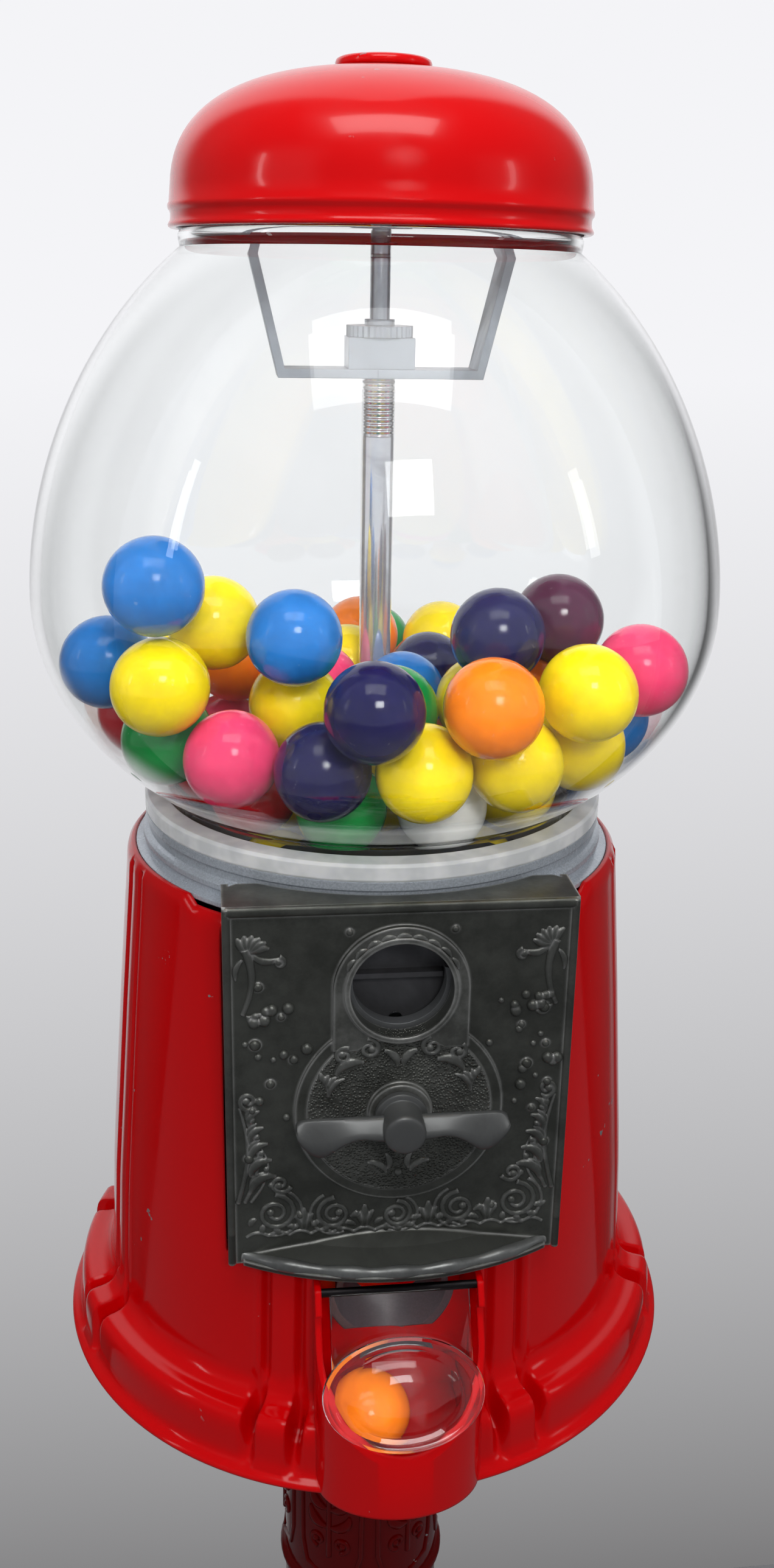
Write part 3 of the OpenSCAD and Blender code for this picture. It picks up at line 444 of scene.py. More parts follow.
# %% Plastics, rubber, vinyl
def plastic(name, colour, low, high, metallic=0.0, grains=900.0, depth=0.00008):
    m, t, s, at = fresh(name)
    flakes = ramp(t, use(t, grain, Vector=at, Scale=grains * 2, Detail=2.0)["Height"], 0.35, 0.65)
    dress(t, s, {"Base Color": mix_colour(t, flakes, tinted(colour, 0.88), tinted(colour, 1.1)),
                 "Roughness": use(t, marks, Vector=at, Scale=35.0, Low=low, High=high)["Roughness"],
                 "Metallic": metallic, "Normal": grainy(t, at, grains, 2.0, 0.25, depth, 0.0005)})
    return m

silver = plastic("silver_plastic", (0.45, 0.49, 0.54), 0.22, 0.34, 0.4)
black = plastic("black_plastic", (0.018, 0.018, 0.02), 0.4, 0.55)
white_nylon = plastic("white_nylon", (0.75, 0.75, 0.72), 0.35, 0.5)
rubber = plastic("black_rubber", (0.02, 0.02, 0.02), 0.65, 0.8, grains=1500.0)
# Painted shade: the chute's grey plastic is made almost black, for the shadow it lies in behind the flap.
chute_painted_shade = plastic("grey_chute_painted_shade", (0.06, 0.05, 0.055), 0.4, 0.55)
vinyl = plastic("milky_vinyl", (0.9, 0.92, 0.93), 0.16, 0.26, grains=60.0, depth=0.0)
dress(vinyl.node_tree, shader_of(vinyl), {"Transmission Weight": 0.25, "Subsurface Weight": 0.3,
                                          "Subsurface Radius": (0.004, 0.004, 0.005)})
print("plastics", silver.name, vinyl.name)

# %% [markdown]
# Clear glass needs little: full transmission, a faint ripple from blowing and
# a hint of dust. The flap is clear plastic with a slightly lower index and
# more haze.

# %% Glass and clear plastic
def clear(name, tint, ior, ripple, scratch):
    m, t, s, at = fresh(name)
    haze = use(t, marks, Vector=at, Scale=18.0, Low=0.0, High=scratch)
    dress(t, s, {"Transmission Weight": 1.0, "IOR": ior, "Roughness": haze["Roughness"],
                 "Base Color": mix_colour(t, haze["Mask"], tint, tinted(tint, 0.985)),
                 "Normal": grainy(t, at, ripple, 0.0, 0.1, 0.0006)})
    return m

glass = clear("globe_glass", (0.985, 0.995, 0.99), 1.47, 14.0, 0.03)
clear_flap = clear("flap_plastic", (0.96, 0.955, 0.95), 1.46, 60.0, 0.06)
print("clear", glass.name, clear_flap.name)

# %% [markdown]
# A gumball has a sugar shell: a clean colour with faint mottling, small pale
# scuffs and shallow dimples, under a soft wax shine.

# %% Gumball shells
def shell(name, colour, depth):
    m, t, s, at = fresh(name)
    cloud = ramp(t, noise(t, at, Scale=90.0, Detail=4.0), 0.3, 0.7)
    scuffs = ramp(t, noise(t, at, Scale=420.0, Detail=4.0, Roughness=0.7), 0.64, 0.74)
    soft = mix_colour(t, cloud, tinted(colour, 0.88), tinted(colour, 1.06, 0.004))
    dress(t, s, {"Base Color": mix_colour(t, times(t, scuffs, 0.5), soft, tinted(colour, 0.75, 0.18)),
                 "Roughness": use(t, marks, Vector=at, Scale=80.0, Low=0.12, High=0.26)["Roughness"],
                 "Specular IOR Level": 0.32, "Subsurface Weight": depth,
                 "Subsurface Radius": (0.003, 0.002, 0.0015), "Coat Weight": 0.2, "Coat Roughness": 0.08,
                 "Normal": grainy(t, at, 110.0, 2.0, 0.3, 0.0006)})
    return m

COLOURS = {
    "yellow": ((0.96, 0.72, 0.0), 0.06), "blue": ((0.01, 0.16, 0.5), 0.06),
    "navy": ((0.006, 0.005, 0.055), 0.0), "orange": ((0.97, 0.22, 0.004), 0.06),
    "pink": ((0.86, 0.05, 0.16), 0.06), "green": ((0.004, 0.28, 0.05), 0.06),
    "red": ((0.5, 0.004, 0.012), 0.06), "white": ((0.85, 0.85, 0.82), 0.06),
    "purple": ((0.06, 0.006, 0.03), 0.02),
}
SHELLS = {word: shell("shell_" + word, colour, depth) for word, (colour, depth) in COLOURS.items()}
print("shells", len(SHELLS))

# %% [markdown]
# Every node gets a finish, also those that a finer piece replaces later, so
# that nothing is ever seen in a plain default colour.

# %% Give every node its finish
FINISH = [
    (red, "base_body"), (post_red_painted_shade, "stand_foot stand_post stand_cap"), (lid_red, "lid lid_knob"),
    (plate_zinc, "coin_plate"), (handle_zinc, "turn_handle"), (cast_wheel, "coin_wheel"),
    (sheet_steel, "mech_back_plate base_plate"), (dark_pin, "flap_pin"), (rod_steel, "center_rod"),
    (steel, "stand_tie_rod tie_rod_nut cap_bolts cap_nuts body_screws mech_screws handle_shaft handle_nut"),
    (steel, "idler_pin ratchet_pawl pawl_pin pawl_spring rod_base_nut"),
    (dull_zinc, "globe_bracket clamp_block knurled_nut rod_collar"), (chrome, "center_tube"),
    (brass, "ratchet_wheel shaft_pinion"), (white_nylon, "idler_gear"), (chute_painted_shade, "gum_chute"),
    (silver, "hopper_tray"), (black, "gumball_wheel outlet_cover"), (rubber, "foot_ring"),
    (vinyl, "globe_gasket"), (glass, "globe"), (clear_flap, "flap_door"),
    (SHELLS["orange"], "chute_gumball"), (SHELLS["yellow"], "wheel_gumballs"),
] + [(material, "gumballs_" + word) for word, material in SHELLS.items()]
left_out = set(NODES)
for finish, names in FINISH:
    for name in names.split():
        slots = NODES[name].data.materials
        if len(slots) == 0:
            slots.append(finish)
        for i in range(len(slots)):
            slots[i] = finish
        left_out.discard(name)
print("nodes without a finish:", sorted(left_out))

# %% [markdown]
# Round pieces are turned as on a lathe: a half outline is drawn in the X-Z
# plane and spun about the machine's axis. The outlines come from the same
# curves as the solids, only with many more points, so that highlights run
# smoothly. The seam is merged and the faces turned outwards.

# %% A lathe
def pick(*objects):
    "Selects these objects and no others; the first becomes the active one."
    bpy.ops.object.select_all(action="DESELECT")
    for o in objects:
        o.select_set(True)
    if objects:
        bpy.context.view_layer.objects.active = objects[0]

def join(objects):
    pick(*objects)
    if len(objects) > 1:
        bpy.ops.object.join()
    return objects[0]

def edit(*steps):
    "Runs steps in edit mode on the active object, each with all of it selected."
    bpy.ops.object.mode_set(mode="EDIT")
    for step in steps:
        bpy.ops.mesh.select_all(action="SELECT")
        step()
    bpy.ops.object.mode_set(mode="OBJECT")
    return bpy.context.object

def weld(gap=0.00001):
    bpy.ops.mesh.remove_doubles(threshold=gap)

def outwards():
    bpy.ops.mesh.normals_make_consistent(inside=False)

def finish_piece(o, name, finish, body, slot, *nodes, angle=35):
    pick(o)
    settle()
    bpy.ops.object.shade_smooth_by_angle(angle=math.radians(angle))
    o.name = name
    o.data.name = name
    o.data.materials.clear()
    o.data.materials.append(finish)
    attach(o, body)
    if nodes:
        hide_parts(*nodes)
    o.select_set(False)
    print("made", name, len(o.data.vertices), "points")
    return o

def trace(points, closed=True):
    "Draws a line of edges: one point, extruded from place to place."
    path = [Vector(p) for p in points] + ([Vector(points[0])] if closed else [])

    def walk():
        for here, there in zip(path, path[1:]):
            bpy.ops.mesh.extrude_region_move(TRANSFORM_OT_translate={"value": there - here})

    pick()
    bpy.ops.mesh.primitive_plane_add(size=0.001, location=points[0])
    o = edit(lambda: bpy.ops.mesh.merge(type="CENTER"), walk, lambda: weld(0.000001))
    settle()
    return o

def spun(line, steps, axis, middle=(0, 0, 0)):
    "Spins a line about an axis and closes the seam."
    edit(lambda: bpy.ops.mesh.spin(steps=steps, angle=math.tau, center=middle, axis=axis), weld, outwards)
    return line

def lathe(points, steps, closed=True):
    "Spins a half outline, given as radius and height in millimetres, about the Z axis."
    return spun(trace([(r * MM, 0.0, UNDER + z * MM) for r, z in points], closed), steps, (0, 0, 1))

print("lathe ready")

# %% [markdown]
# The globe is blown glass: flat at the waist, drawn in to a neck at the foot and
# to a rolled rim round the mouth. Both faces are drawn, 3 mm apart, because
# light bends at each of them.

# %% The glass globe
WIDEST, WAIST, WALL = 99.0, 239.0, 3.0      # largest radius and its height, thickness of the glass

def bulb(o, steps=34):
    "Half outline of the globe, o millimetres inside its outer face."
    a, low, high = WIDEST - o, 73.0 - o * 0.5, 116.0
    start = -math.acos((63.0 - o) / a)
    top = 333.5 - WAIST
    pts = []
    for i in range(steps + 1):
        t = start * (1 - i / steps)
        pts.append((a * math.cos(t), WAIST + low * math.sin(t)))
    for i in range(1, steps + 1):
        z = top * i / steps
        pts.append((a * (1 - (z / high) ** 1.9) ** (1 / 1.9), WAIST + z))
    return pts

mouth = [(54.9, 335.2), (55.0, 336.6), (54.4, 337.7), (53.2, 338.0), (52.0, 337.5), (51.6, 336.0)]
neck = [(60.0, 181.8), (60.0, 177.6), (60.8, 177.5), (62.2, 177.5)]
outline = [(63.0, 177.6), (63.0, 181.8)] + bulb(0) + mouth + bulb(WALL)[::-1] + neck
globe = finish_piece(lathe(outline, 144), "globe_glass", glass, "base", "globe", "globe", angle=60)
globe.visible_shadow = False      # lamps light the gumballs straight through the glass

# %% [markdown]
# The lid is pressed sheet: a full dome on a band with two rolled beads. Its
# outline is a curve between a circle and a square, drawn once for the outside
# and once, 1.5 mm smaller, for the inside. The knob is a flat button on a stem.

# %% Lid and knob
def dome(o, steps=26):
    a, h, low, power = 56.8 - o, 33.5 - o, 344.5, 2 / 2.6
    curve = [math.pi / 2 * i / steps for i in range(1, steps)]
    line = [(a * math.cos(t) ** power, low + h * math.sin(t) ** power) for t in curve]
    return [p for p in line if p[0] > 6.5]

band = [(55.4, 338.3), (55.9, 338.0), (56.9, 338.0), (57.4, 338.3), (57.5, 338.8), (57.2, 339.4),
        (56.9, 339.9), (56.8, 340.6), (56.8, 341.6), (56.95, 342.2), (57.35, 342.7), (57.5, 343.3),
        (57.45, 343.9), (57.1, 344.4)]
hole = [(5.3, 377.98), (5.3, 376.5)]
lining = dome(1.5)[::-1] + [(55.3, 344.5), (55.3, 339.2)]
finish_piece(lathe(band + dome(0) + hole + lining, 144), "lid_shell", lid_red, "lid", "lid", "lid", angle=50)
button = [(0.0, 378.3), (11.9, 378.3), (12.6, 378.5), (12.8, 378.9), (12.8, 379.6), (12.5, 380.3),
          (11.7, 380.75), (10.4, 380.95), (0.0, 381.0)]
stem = [(0.0, 358.3), (4.6, 358.3), (5.0, 358.7), (5.0, 378.4), (0.0, 378.4)]
knob = join([lathe(button, 96, closed=False), lathe(stem, 48, closed=False)])
finish_piece(knob, "lid_knob_cap", lid_red, "knob", "lid_knob", "lid_knob", angle=50)

# %% [markdown]
# The gumballs lie in rings, which are given in ball radii: radius and height of
# the ring, number of places, first angle, and a letter for the colour in each
# place. Every ball is turned at random, so that no two show the same scuffs.
# Those in the wheel turn with it, so they ride its body, and one more ball
# waits in the spout.

# %% Gumballs
BALL, SHELL, RING_Z = 12.6, 12.55, 175.5      # radius of a place and of a ball, foot of the pile
RINGS = [(1.865, 0.913, 5, 0, "ybowg"), (3.88, 1.15, 11, -16.4, "gwyborynprr"),
         (5.56, 2.5, 17, 4.3, "yyybpybwgyyyorgpn"), (1.468, 2.937, 4, 20, "bnyp"),
         (3.49, 3.175, 10, 0, "gyonyowo-y"), (6.43, 4.01, 17, -6.3, "noyp----------by-"),
         (4.563, 4.92, 13, 0, "-nu--------yb"), (6.51, 6.056, 17, -6.3, "---------------b-")]
random.seed(7)

def around(radius, degrees):
    "A place on a circle; the angle is counted from the front, towards +X."
    a = math.radians(degrees - 90)
    return radius * math.cos(a), radius * math.sin(a)

def add_ball(place):
    turn = [random.uniform(0, 6.2) for _ in range(3)]
    where = [v * MM for v in place]
    bpy.ops.mesh.primitive_ico_sphere_add(subdivisions=4, radius=SHELL * MM, location=where, rotation=turn)
    return bpy.context.object

def balls(places, name, colour, body, node):
    made = join([add_ball(p) for p in places])
    finish_piece(made, name, SHELLS[colour], body, node, node, angle=180)

for letter, word in zip("ybnopgrwu", SHELLS):
    places = []
    for radius, z, count, start, row in RINGS:
        for i, c in enumerate(row):
            if c == letter:
                x, y = around(radius * BALL, start + i * 360 / count)
                places.append((x, y, UNDER / MM + RING_Z + z * BALL))
    balls(places, "gumball_shells_" + word, word, "base", "gumballs_" + word)
in_wheel = [(*around(34, 60 * k), UNDER / MM + 158.9) for k in range(1, 6)]
balls(in_wheel, "wheel_gumball_shells", "yellow", "dispensing_wheel", "wheel_gumballs")
balls([(-8.4, -84.8, UNDER / MM + 16.6)], "chute_gumball_shell", "orange", "base", "chute_gumball")

# %% [markdown]
# The base is a casting with generous radii everywhere, and its highlights live
# on them. It starts as a turned outline with many rings. Its points are then
# moved: they crowd together at the eight pilasters, sink into the grooves
# beside each one, and at the flange they drop into a channel with a bump at the
# foot of the pilaster.

# %% The turned form of the base
PILASTERS = [22.5, 72.5, 107.5, 157.5, 202.5, 252.5, 287.5, 337.5]
NEAR, FAR, SPREAD = 33, 16, 13.2      # steps at a pilaster, steps between, degrees that a pilaster takes
STEPS = 8 * (NEAR + FAR)
SIDE = [(23.0, 85.0), (60.0, 83.2), (119.0, 78.6), (158.0, 75.3)]      # heights and radii of the wall
SEAT = 49.5                           # degrees to each side that the plate's seat takes

def side_radius(z):
    for (z0, r0), (z1, r1) in zip(SIDE, SIDE[1:]):
        if z <= z1:
            return r0 + (r1 - r0) * (z - z0) / (z1 - z0)
    return 75.0

rim = [(98.7, 0.0), (99.2, 0.3), (99.4, 0.9), (99.1, 1.6), (98.4, 2.1), (97.4, 2.5)]
tier = [(96.6, 3.1), (96.1, 4.2), (95.9, 6.0), (95.8, 9.0), (95.7, 12.0), (95.5, 14.0), (95.1, 15.7),
        (94.4, 17.0), (93.3, 17.8), (92.0, 18.1), (90.4, 18.3), (88.9, 18.6), (87.6, 19.2), (86.6, 20.0),
        (85.9, 21.0), (85.4, 22.0), (85.0, 23.2)]
channel = [(96.2, 2.9), (95.2, 3.2), (94.2, 3.4), (93.2, 3.5), (92.2, 3.6), (91.2, 3.8), (90.2, 4.0),
           (89.3, 4.3), (88.4, 4.7), (87.6, 5.3), (86.9, 6.2), (86.4, 7.5), (86.0, 9.2), (85.7, 11.5),
           (85.4, 14.5), (85.2, 18.0), (85.0, 22.0)]
side = [(side_radius(z), z) for z in [25, 28, 34] + [40 + 6 * i for i in range(20)] + [157]]
edge = [(75.2, 160.0), (75.0, 162.0), (74.5, 163.6), (73.6, 164.7), (72.7, 165.0)]
inside = [(72.3, 164.6), (72.2, 163.5), (70.4, 158.0), (74.0, 119.0), (78.6, 60.0), (80.4, 24.0),
          (80.8, 3.2), (90.3, 3.1), (90.3, 0.0)]
base_form = lathe(rim + tier + side + edge + inside, STEPS)

# where the steps of the spin go: fine at the pilasters, coarse between them
spread = []
for here, after in zip(PILASTERS, PILASTERS[1:] + [PILASTERS[0] + 360]):
    spread += [here - SPREAD / 2 + SPREAD * i / NEAR for i in range(NEAR)]
    spread += [here + SPREAD / 2 + (after - here - SPREAD) * i / FAR for i in range(FAR)]

def smooth(t):
    t = min(1.0, max(0.0, t))
    return t * t * (3 - 2 * t)

def groove(u):
    d = abs(u - 3.55) / 1.35
    return -2.2 * (0.5 + 0.5 * math.cos(math.pi * d)) if d < 1 else 0.0

tier_spots = {(round(r, 2), round(z, 2)): i for i, (r, z) in enumerate(tier)}

def shaped(r, z, a):
    "Where a point of the turned form goes, at azimuth a."
    u = min(abs((a - p + 180) % 360 - 180) for p in PILASTERS)      # degrees off the nearest pilaster
    i = tier_spots.get((round(r, 2), round(z, 2)))
    if i is not None:
        fr, fz = channel[i]
        knuckle = 1 - smooth((u - 2.5) / 1.4)
        step = smooth((u - 4.2) / 1.9)
        up = 0.42 + 0.58 * max(knuckle, step)
        rr, zz = (r + 0.5 * knuckle, z + 0.6 * knuckle) if knuckle > step else (r, z)
        r, z = fr + (rr - fr) * up, fz + (zz - fz) * up
    elif 23.3 < z < 163.0 and r > side_radius(min(z, 158)) - 1.5:
        fade = smooth((z - 18) / 10)
        r += groove(u) * fade + 0.35 * math.exp(-((u - 5.4) / 0.7) ** 2) * fade
        r += 0.25 * (1 - smooth(u / 2.3)) * fade
    front = abs((a + 180) % 360 - 180)
    if z > 156.5 and r > 71.9 and front < SEAT:
        z -= 2.6 * smooth((z - 156.5) / 5) * smooth((SEAT - front) / 1.5)
    return r, z

for v in base_form.data.vertices:
    step = round(math.degrees(math.atan2(v.co.y, v.co.x)) / 360 * STEPS) % STEPS
    r, z = shaped(math.hypot(v.co.x, v.co.y) / MM, (v.co.z - UNDER) / MM, spread[step])
    t = math.radians(spread[step] - 90)
    v.co = Vector((r * MM * math.cos(t), r * MM * math.sin(t), UNDER + z * MM))
print("base form", len(base_form.data.polygons), "faces")

# %% [markdown]
# Booleans then add the spout, as the pattern maker would glue a block on the
# turned form, and cut the seat of the coin plate, the slanted front that the
# flap closes, and the hollow of the cup.

# %% Seat, spout and holes of the base
CUP, FLAP_Z, LEAN = 23.7, 59.5, math.radians(-30)      # half width of the spout, height and lean of the flap
PIVOT = Vector((0, -0.0852, UNDER + FLAP_Z * MM))

def apply_boolean(o, other, how="UNION"):
    pick(o)
    m = o.modifiers.new("joined", "BOOLEAN")
    m.operation, m.solver, m.object = how, "EXACT", other
    bpy.ops.object.modifier_apply(modifier=m.name)
    bpy.data.objects.remove(other, do_unlink=True)

def block(low, high):
    "A box between two corners, in millimetres, with heights above the underside."
    middle = [(a + b) / 2 * MM for a, b in zip(low, high)]
    middle[2] += UNDER
    size = [(b - a) * MM for a, b in zip(low, high)]
    pick()
    bpy.ops.mesh.primitive_cube_add(size=1, location=middle)
    o = edit(lambda: bpy.ops.transform.resize(value=size, center_override=middle))
    settle()
    return o

def cup_form(half, corner, front, back, z0, z1, steps=72):
    "A block with straight cheeks and a broad rounded front, like the foot of an oval."
    curve = [math.pi * i / steps for i in range(steps + 1)]
    arc = [(half * math.cos(t), corner - (corner - front) * math.sin(t)) for t in curve]
    o = trace([Vector((x * MM, y * MM, UNDER + z0 * MM)) for x, y in arc + [(-half, back), (half, back)]])
    rise = {"value": (0, 0, (z1 - z0) * MM)}
    edit(bpy.ops.mesh.edge_face_add, lambda: bpy.ops.mesh.extrude_region_move(TRANSFORM_OT_translate=rise),
         outwards)
    return o

def flap_cut(y1, z1):
    "A block that leans as the flap does."
    o = block((-CUP - 0.5, -60, -70), (CUP + 0.5, y1, z1))
    down = Matrix.Translation((0, 0, -UNDER))
    o.data.transform(Matrix.Translation(PIVOT) @ Matrix.Rotation(LEAN, 4, "X") @ down)
    return o

apply_boolean(base_form, cup_form(CUP, -91.5, -108.0, -58, 0.05, FLAP_Z + 2))
for cutter in (block((-47.6, -120, 62.6), (47.6, -58, 159.5)),
               block((-47.6, -120, 62.7), (47.6, -72.8, 240)),
               flap_cut(0.9, -6), flap_cut(-2.7, 6),
               cup_form(21.9, -91.5, -106.4, -60, 4.0, 104)):
    apply_boolean(base_form, cutter, "DIFFERENCE")
finish_piece(base_form, "base_casting", red, "base", "base_body", "base_body", angle=32)

# %% [markdown]
# The handle is a cast butterfly. Each wing is lofted: a section of the wing is
# extruded outwards in steps, and each step is moved and scaled to follow the
# S-curve of the underside. The front face slopes, and a heavy lip runs along
# its foot. The hub is turned, and a boolean joins the three.

# %% The turning handle
HUB = Vector((0, -0.084, SHAFT))
FIRST, REACH = 4.0, 28.7      # where a wing starts and ends, from the shaft
SECTION = [(0.0, 1.0), (1.3, 0.95), (2.0, 0.75), (4.3, -0.05), (4.9, -0.35), (5.0, -0.6), (4.7, -0.85),
           (4.0, -1.0), (0.6, -1.0), (0.0, -0.85)]
STATIONS = [0.0] + [(6 + 7 * i) / 100 for i in range(12)] + [0.88, 0.92, 0.95, 0.975, 0.99, 1.0]

def station(t):
    "Middle height, half height and depth of the wing, at t from hub to tip."
    drop = -3.0 - 4.4 * math.exp(-((t - 0.73) / 0.2) ** 2) + 0.8 * math.exp(-((t - 0.3) / 0.14) ** 2)
    rise = 2.6
    if t > 0.86:
        k = math.sqrt(max(0.0, 1 - ((t - 0.86) / 0.14) ** 2))
        drop, rise = drop * k * 0.98 - 0.1, rise * (0.35 + 0.65 * k)
    return (rise + drop) / 2, (rise - drop) / 2, 1.0 - 0.12 * t

def wing(side):
    mid, half, deep = station(0.0)
    o = trace([HUB + Vector((side * FIRST, -y * deep, mid + z * half)) * MM for y, z in SECTION])

    def grow():
        for t0, t1 in zip(STATIONS, STATIONS[1:]):
            (mid0, half0, deep0), (mid1, half1, deep1) = station(t0), station(t1)
            move = Vector((side * (REACH - FIRST) * (t1 - t0), 0, mid1 - mid0)) * MM
            bpy.ops.mesh.extrude_region_move(TRANSFORM_OT_translate={"value": move})
            middle = HUB + Vector((0, 0, mid1)) * MM
            bpy.ops.transform.resize(value=(1, deep1 / deep0, half1 / half0), center_override=middle)

    edit(bpy.ops.mesh.edge_face_add, grow, outwards)
    return o

# radius of the hub, and distance in front of its middle
profile = [(0, -4.2), (7.0, -4.2), (7.25, -3.9), (7.25, -2.2), (6.9, -1.9), (5.9, -1.7), (5.7, -1.4),
           (5.7, 5.4), (5.6, 6.2), (5.25, 6.8), (4.5, 7.1), (3.4, 7.2), (0, 7.2)]
hub = spun(trace([HUB + Vector((r, -d, 0)) * MM for r, d in profile], closed=False), 64, (0, 1, 0), HUB)
for way in (-1, 1):
    apply_boolean(hub, wing(way))
pick(hub)
soften = hub.modifiers.new("edges", "BEVEL")
soften.width, soften.segments = 0.0003, 3
soften.limit_method, soften.angle_limit = "ANGLE", math.radians(38)
bpy.ops.object.modifier_apply(modifier=soften.name)
finish_piece(hub, "butterfly_handle", handle_zinc, "handle", "turn_handle", "turn_handle", angle=40)

# %% [markdown]
# The flap is one clear moulding: a flat upper panel that hangs on its pin, and
# below it an oval with a rolled rim round a shallow dome. The oval is turned and
# widened, the panel is a bevelled block with an oval bite, and a boolean makes
# them one, because clear pieces that only overlap show walls inside.

# %% The clear flap
OVAL = (0, 0, -27.72 * MM)        # middle of the oval, below the pivot
WIDEN = (22.6 / 13.5, 1, 1.13)
PANEL, PANEL_AT = (39.4 * MM, 1.5 * MM, 27.4 * MM), (0, -0.8 * MM, -14 * MM)
profile = [(0, 5.2), (3, 5.05), (6, 4.5), (8.2, 3.5), (9.7, 2.2), (10.5, 1.6), (11.4, 1.6), (11.9, 2.2),
           (12.6, 2.6), (13.3, 2.2), (13.5, 1.4), (13.3, 0.4), (12.6, 0.0), (10.2, 0.0), (9.2, 0.9),
           (7.8, 2.2), (5.8, 3.2), (2.9, 3.75), (0, 3.9)]
oval = spun(trace([Vector((r, -d, 0)) * MM for r, d in profile], closed=False), 72, (0, 1, 0))
edit(lambda: bpy.ops.transform.resize(value=WIDEN, center_override=(0, 0, 0)),
     lambda: bpy.ops.transform.translate(value=OVAL))
pick()
bpy.ops.mesh.primitive_cube_add(size=1, location=PANEL_AT)
panel = edit(lambda: bpy.ops.transform.resize(value=PANEL, center_override=PANEL_AT),
             lambda: bpy.ops.mesh.bevel(offset=0.0005, segments=3, affect="EDGES"))
settle()
pick()
bpy.ops.mesh.primitive_cylinder_add(vertices=96, radius=12.6 * MM, depth=8 * MM,
                                    rotation=(math.pi / 2, 0, 0), location=(0, -0.8 * MM, OVAL[2]))
settle()
bite = edit(lambda: bpy.ops.transform.resize(value=WIDEN, center_override=OVAL))
apply_boolean(panel, bite, "DIFFERENCE")
apply_boolean(oval, panel)
oval.matrix_world = Matrix.Translation(PIVOT) @ Matrix.Rotation(LEAN, 4, "X")
finish_piece(oval, "flap_moulding", clear_flap, "flap", "flap_door", "flap_door", angle=35)
oval.visible_shadow = False

# %% [markdown]
# The casting's relief: rolling scrolls under the dial, leaf sprays that climb
# beside it, flourishes in the upper corners and beads in between. A scroll is a
# line of edges that turns into a curve, gets a round section with a radius at
# every point, and becomes a mesh again, half sunk in the plate.

# %% Strokes, leaves, curls and beads
PLATE, DISC, ARCH = 76.0, 77.5, 77.9      # faces of plate, dial and arch, millimetres in front of the axis
BOLD, BEAD = 1.35, 1.2                    # how much thicker strokes and beads are cast than drawn

def rope(places, radii, rounding, *steps):
    "A line of edges with a round section, whose radius in millimetres is given point by point."
    trace(places, closed=False)
    bpy.ops.object.convert(target="CURVE")
    curve = bpy.context.object.data
    curve.bevel_depth, curve.bevel_resolution, curve.use_fill_caps = MM, rounding, True
    spots = curve.splines[0].points
    forward = (spots[0].co.xyz - places[0]).length < 1e-6
    for spot, radius in zip(spots if forward else reversed(spots), radii):
        spot.radius = radius
    bpy.ops.object.convert(target="MESH")
    return edit(weld, outwards, *steps)

def stroke(points, radii, flat=0.95, face=PLATE):
    "A tapering raised line through points (x, z) in millimetres on a face of the plate."
    places = [Vector((x, -face, z)) * MM + Vector((0, 0, UNDER)) for x, z in points]
    bold = [radii[min(i, len(radii) - 1)] * BOLD for i in range(len(points))]
    sink = {"value": (1, flat, 1), "center_override": (0, -face * MM, 0)}
    relief.append(rope(places, bold, 2, lambda: bpy.ops.transform.resize(**sink)))

def spiral(cx, cz, start, turns, r0, r1, n=26):
    "Points of a spiral that closes in from r0 to r1."
    spots = [(r0 + (r1 - r0) * (i / n) ** 0.8, start + turns * math.tau * i / n) for i in range(n + 1)]
    return [(cx + reach * math.cos(t), cz + reach * math.sin(t)) for reach, t in spots]

def bow(a, b, lift, n=10):
    "Points of an arc from a to b that rises by lift to its left."
    (ax, az), (bx, bz) = a, b
    span = [i / n for i in range(n + 1)]
    return [(ax + (bx - ax) * t - (bz - az) * lift * 4 * t * (1 - t),
             az + (bz - az) * t + (bx - ax) * lift * 4 * t * (1 - t)) for t in span]

def leaf(a, b, lift, thick, face=PLATE, flat=0.75, n=8):
    swell = [thick * max(0.14, math.sin(math.pi * (0.1 + 0.84 * i / n)) ** 0.8) for i in range(n + 1)]
    stroke(bow(a, b, lift, n), swell, flat, face)

def add_bead(x, z, r, face=PLATE):
    pick()
    bpy.ops.mesh.primitive_uv_sphere_add(segments=20, ring_count=10, radius=r * BEAD * MM,
                                         location=(x * MM, -face * MM, UNDER + z * MM))
    settle()
    relief.append(bpy.context.object)

def curl(cx, cz, start, turns, r0, r1, thick=0.6, face=PLATE):
    pts = spiral(cx, cz, math.radians(start), turns, r0, r1)
    stroke(pts, [thick * (0.6 + 0.4 * (1 - i / len(pts))) for i in range(len(pts))], face=face)
    add_bead(*pts[-1], thick * 1.5, face)

print("relief tools ready")

# %% Relief of the coin plate
relief = []
# five rolling scrolls under the dial, with leaves on their backs
SCROLLS = [(-34, 80.0, 6.2), (-17.5, 78.8, 5.4), (0, 77.6, 4.6), (17.5, 78.8, 5.4), (34, 80.0, 6.2)]
for k, (x, z, r) in enumerate(SCROLLS):
    way = 1 if k % 2 else -1
    curl(x, z, 90, way * 1.8, r, 1.3, 0.65)
    stroke(spiral(x, z, math.radians(90 + way * 25), way * 0.5, r + 1.5, r + 1.1, 14), [0.42])
    for a in (200, 235, 270, 305, 340):
        t = math.radians(a)
        inner, outer = r - 0.6, r + 2.6
        leaf((x + inner * math.cos(t), z + inner * math.sin(t) * 0.8),
             (x + outer * math.cos(t + 0.25), z + outer * math.sin(t + 0.25) * 0.8), 0.15 * way, 0.8)
for x in (-26, -9, 9, 26):
    for dx, up, thick in ((-2.6, 5.0, 0.9), (0, 7.0, 1.1), (2.6, 5.0, 0.9)):
        leaf((x + dx * 0.2, 74.4), (x + dx, 74.4 + up), 0.12 * (dx / 3), thick)
for i in range(14):
    stroke(bow((-42 + 6 * i, 72.6), (-36 + 6 * i, 72.6), 0.22, 6), [0.4])
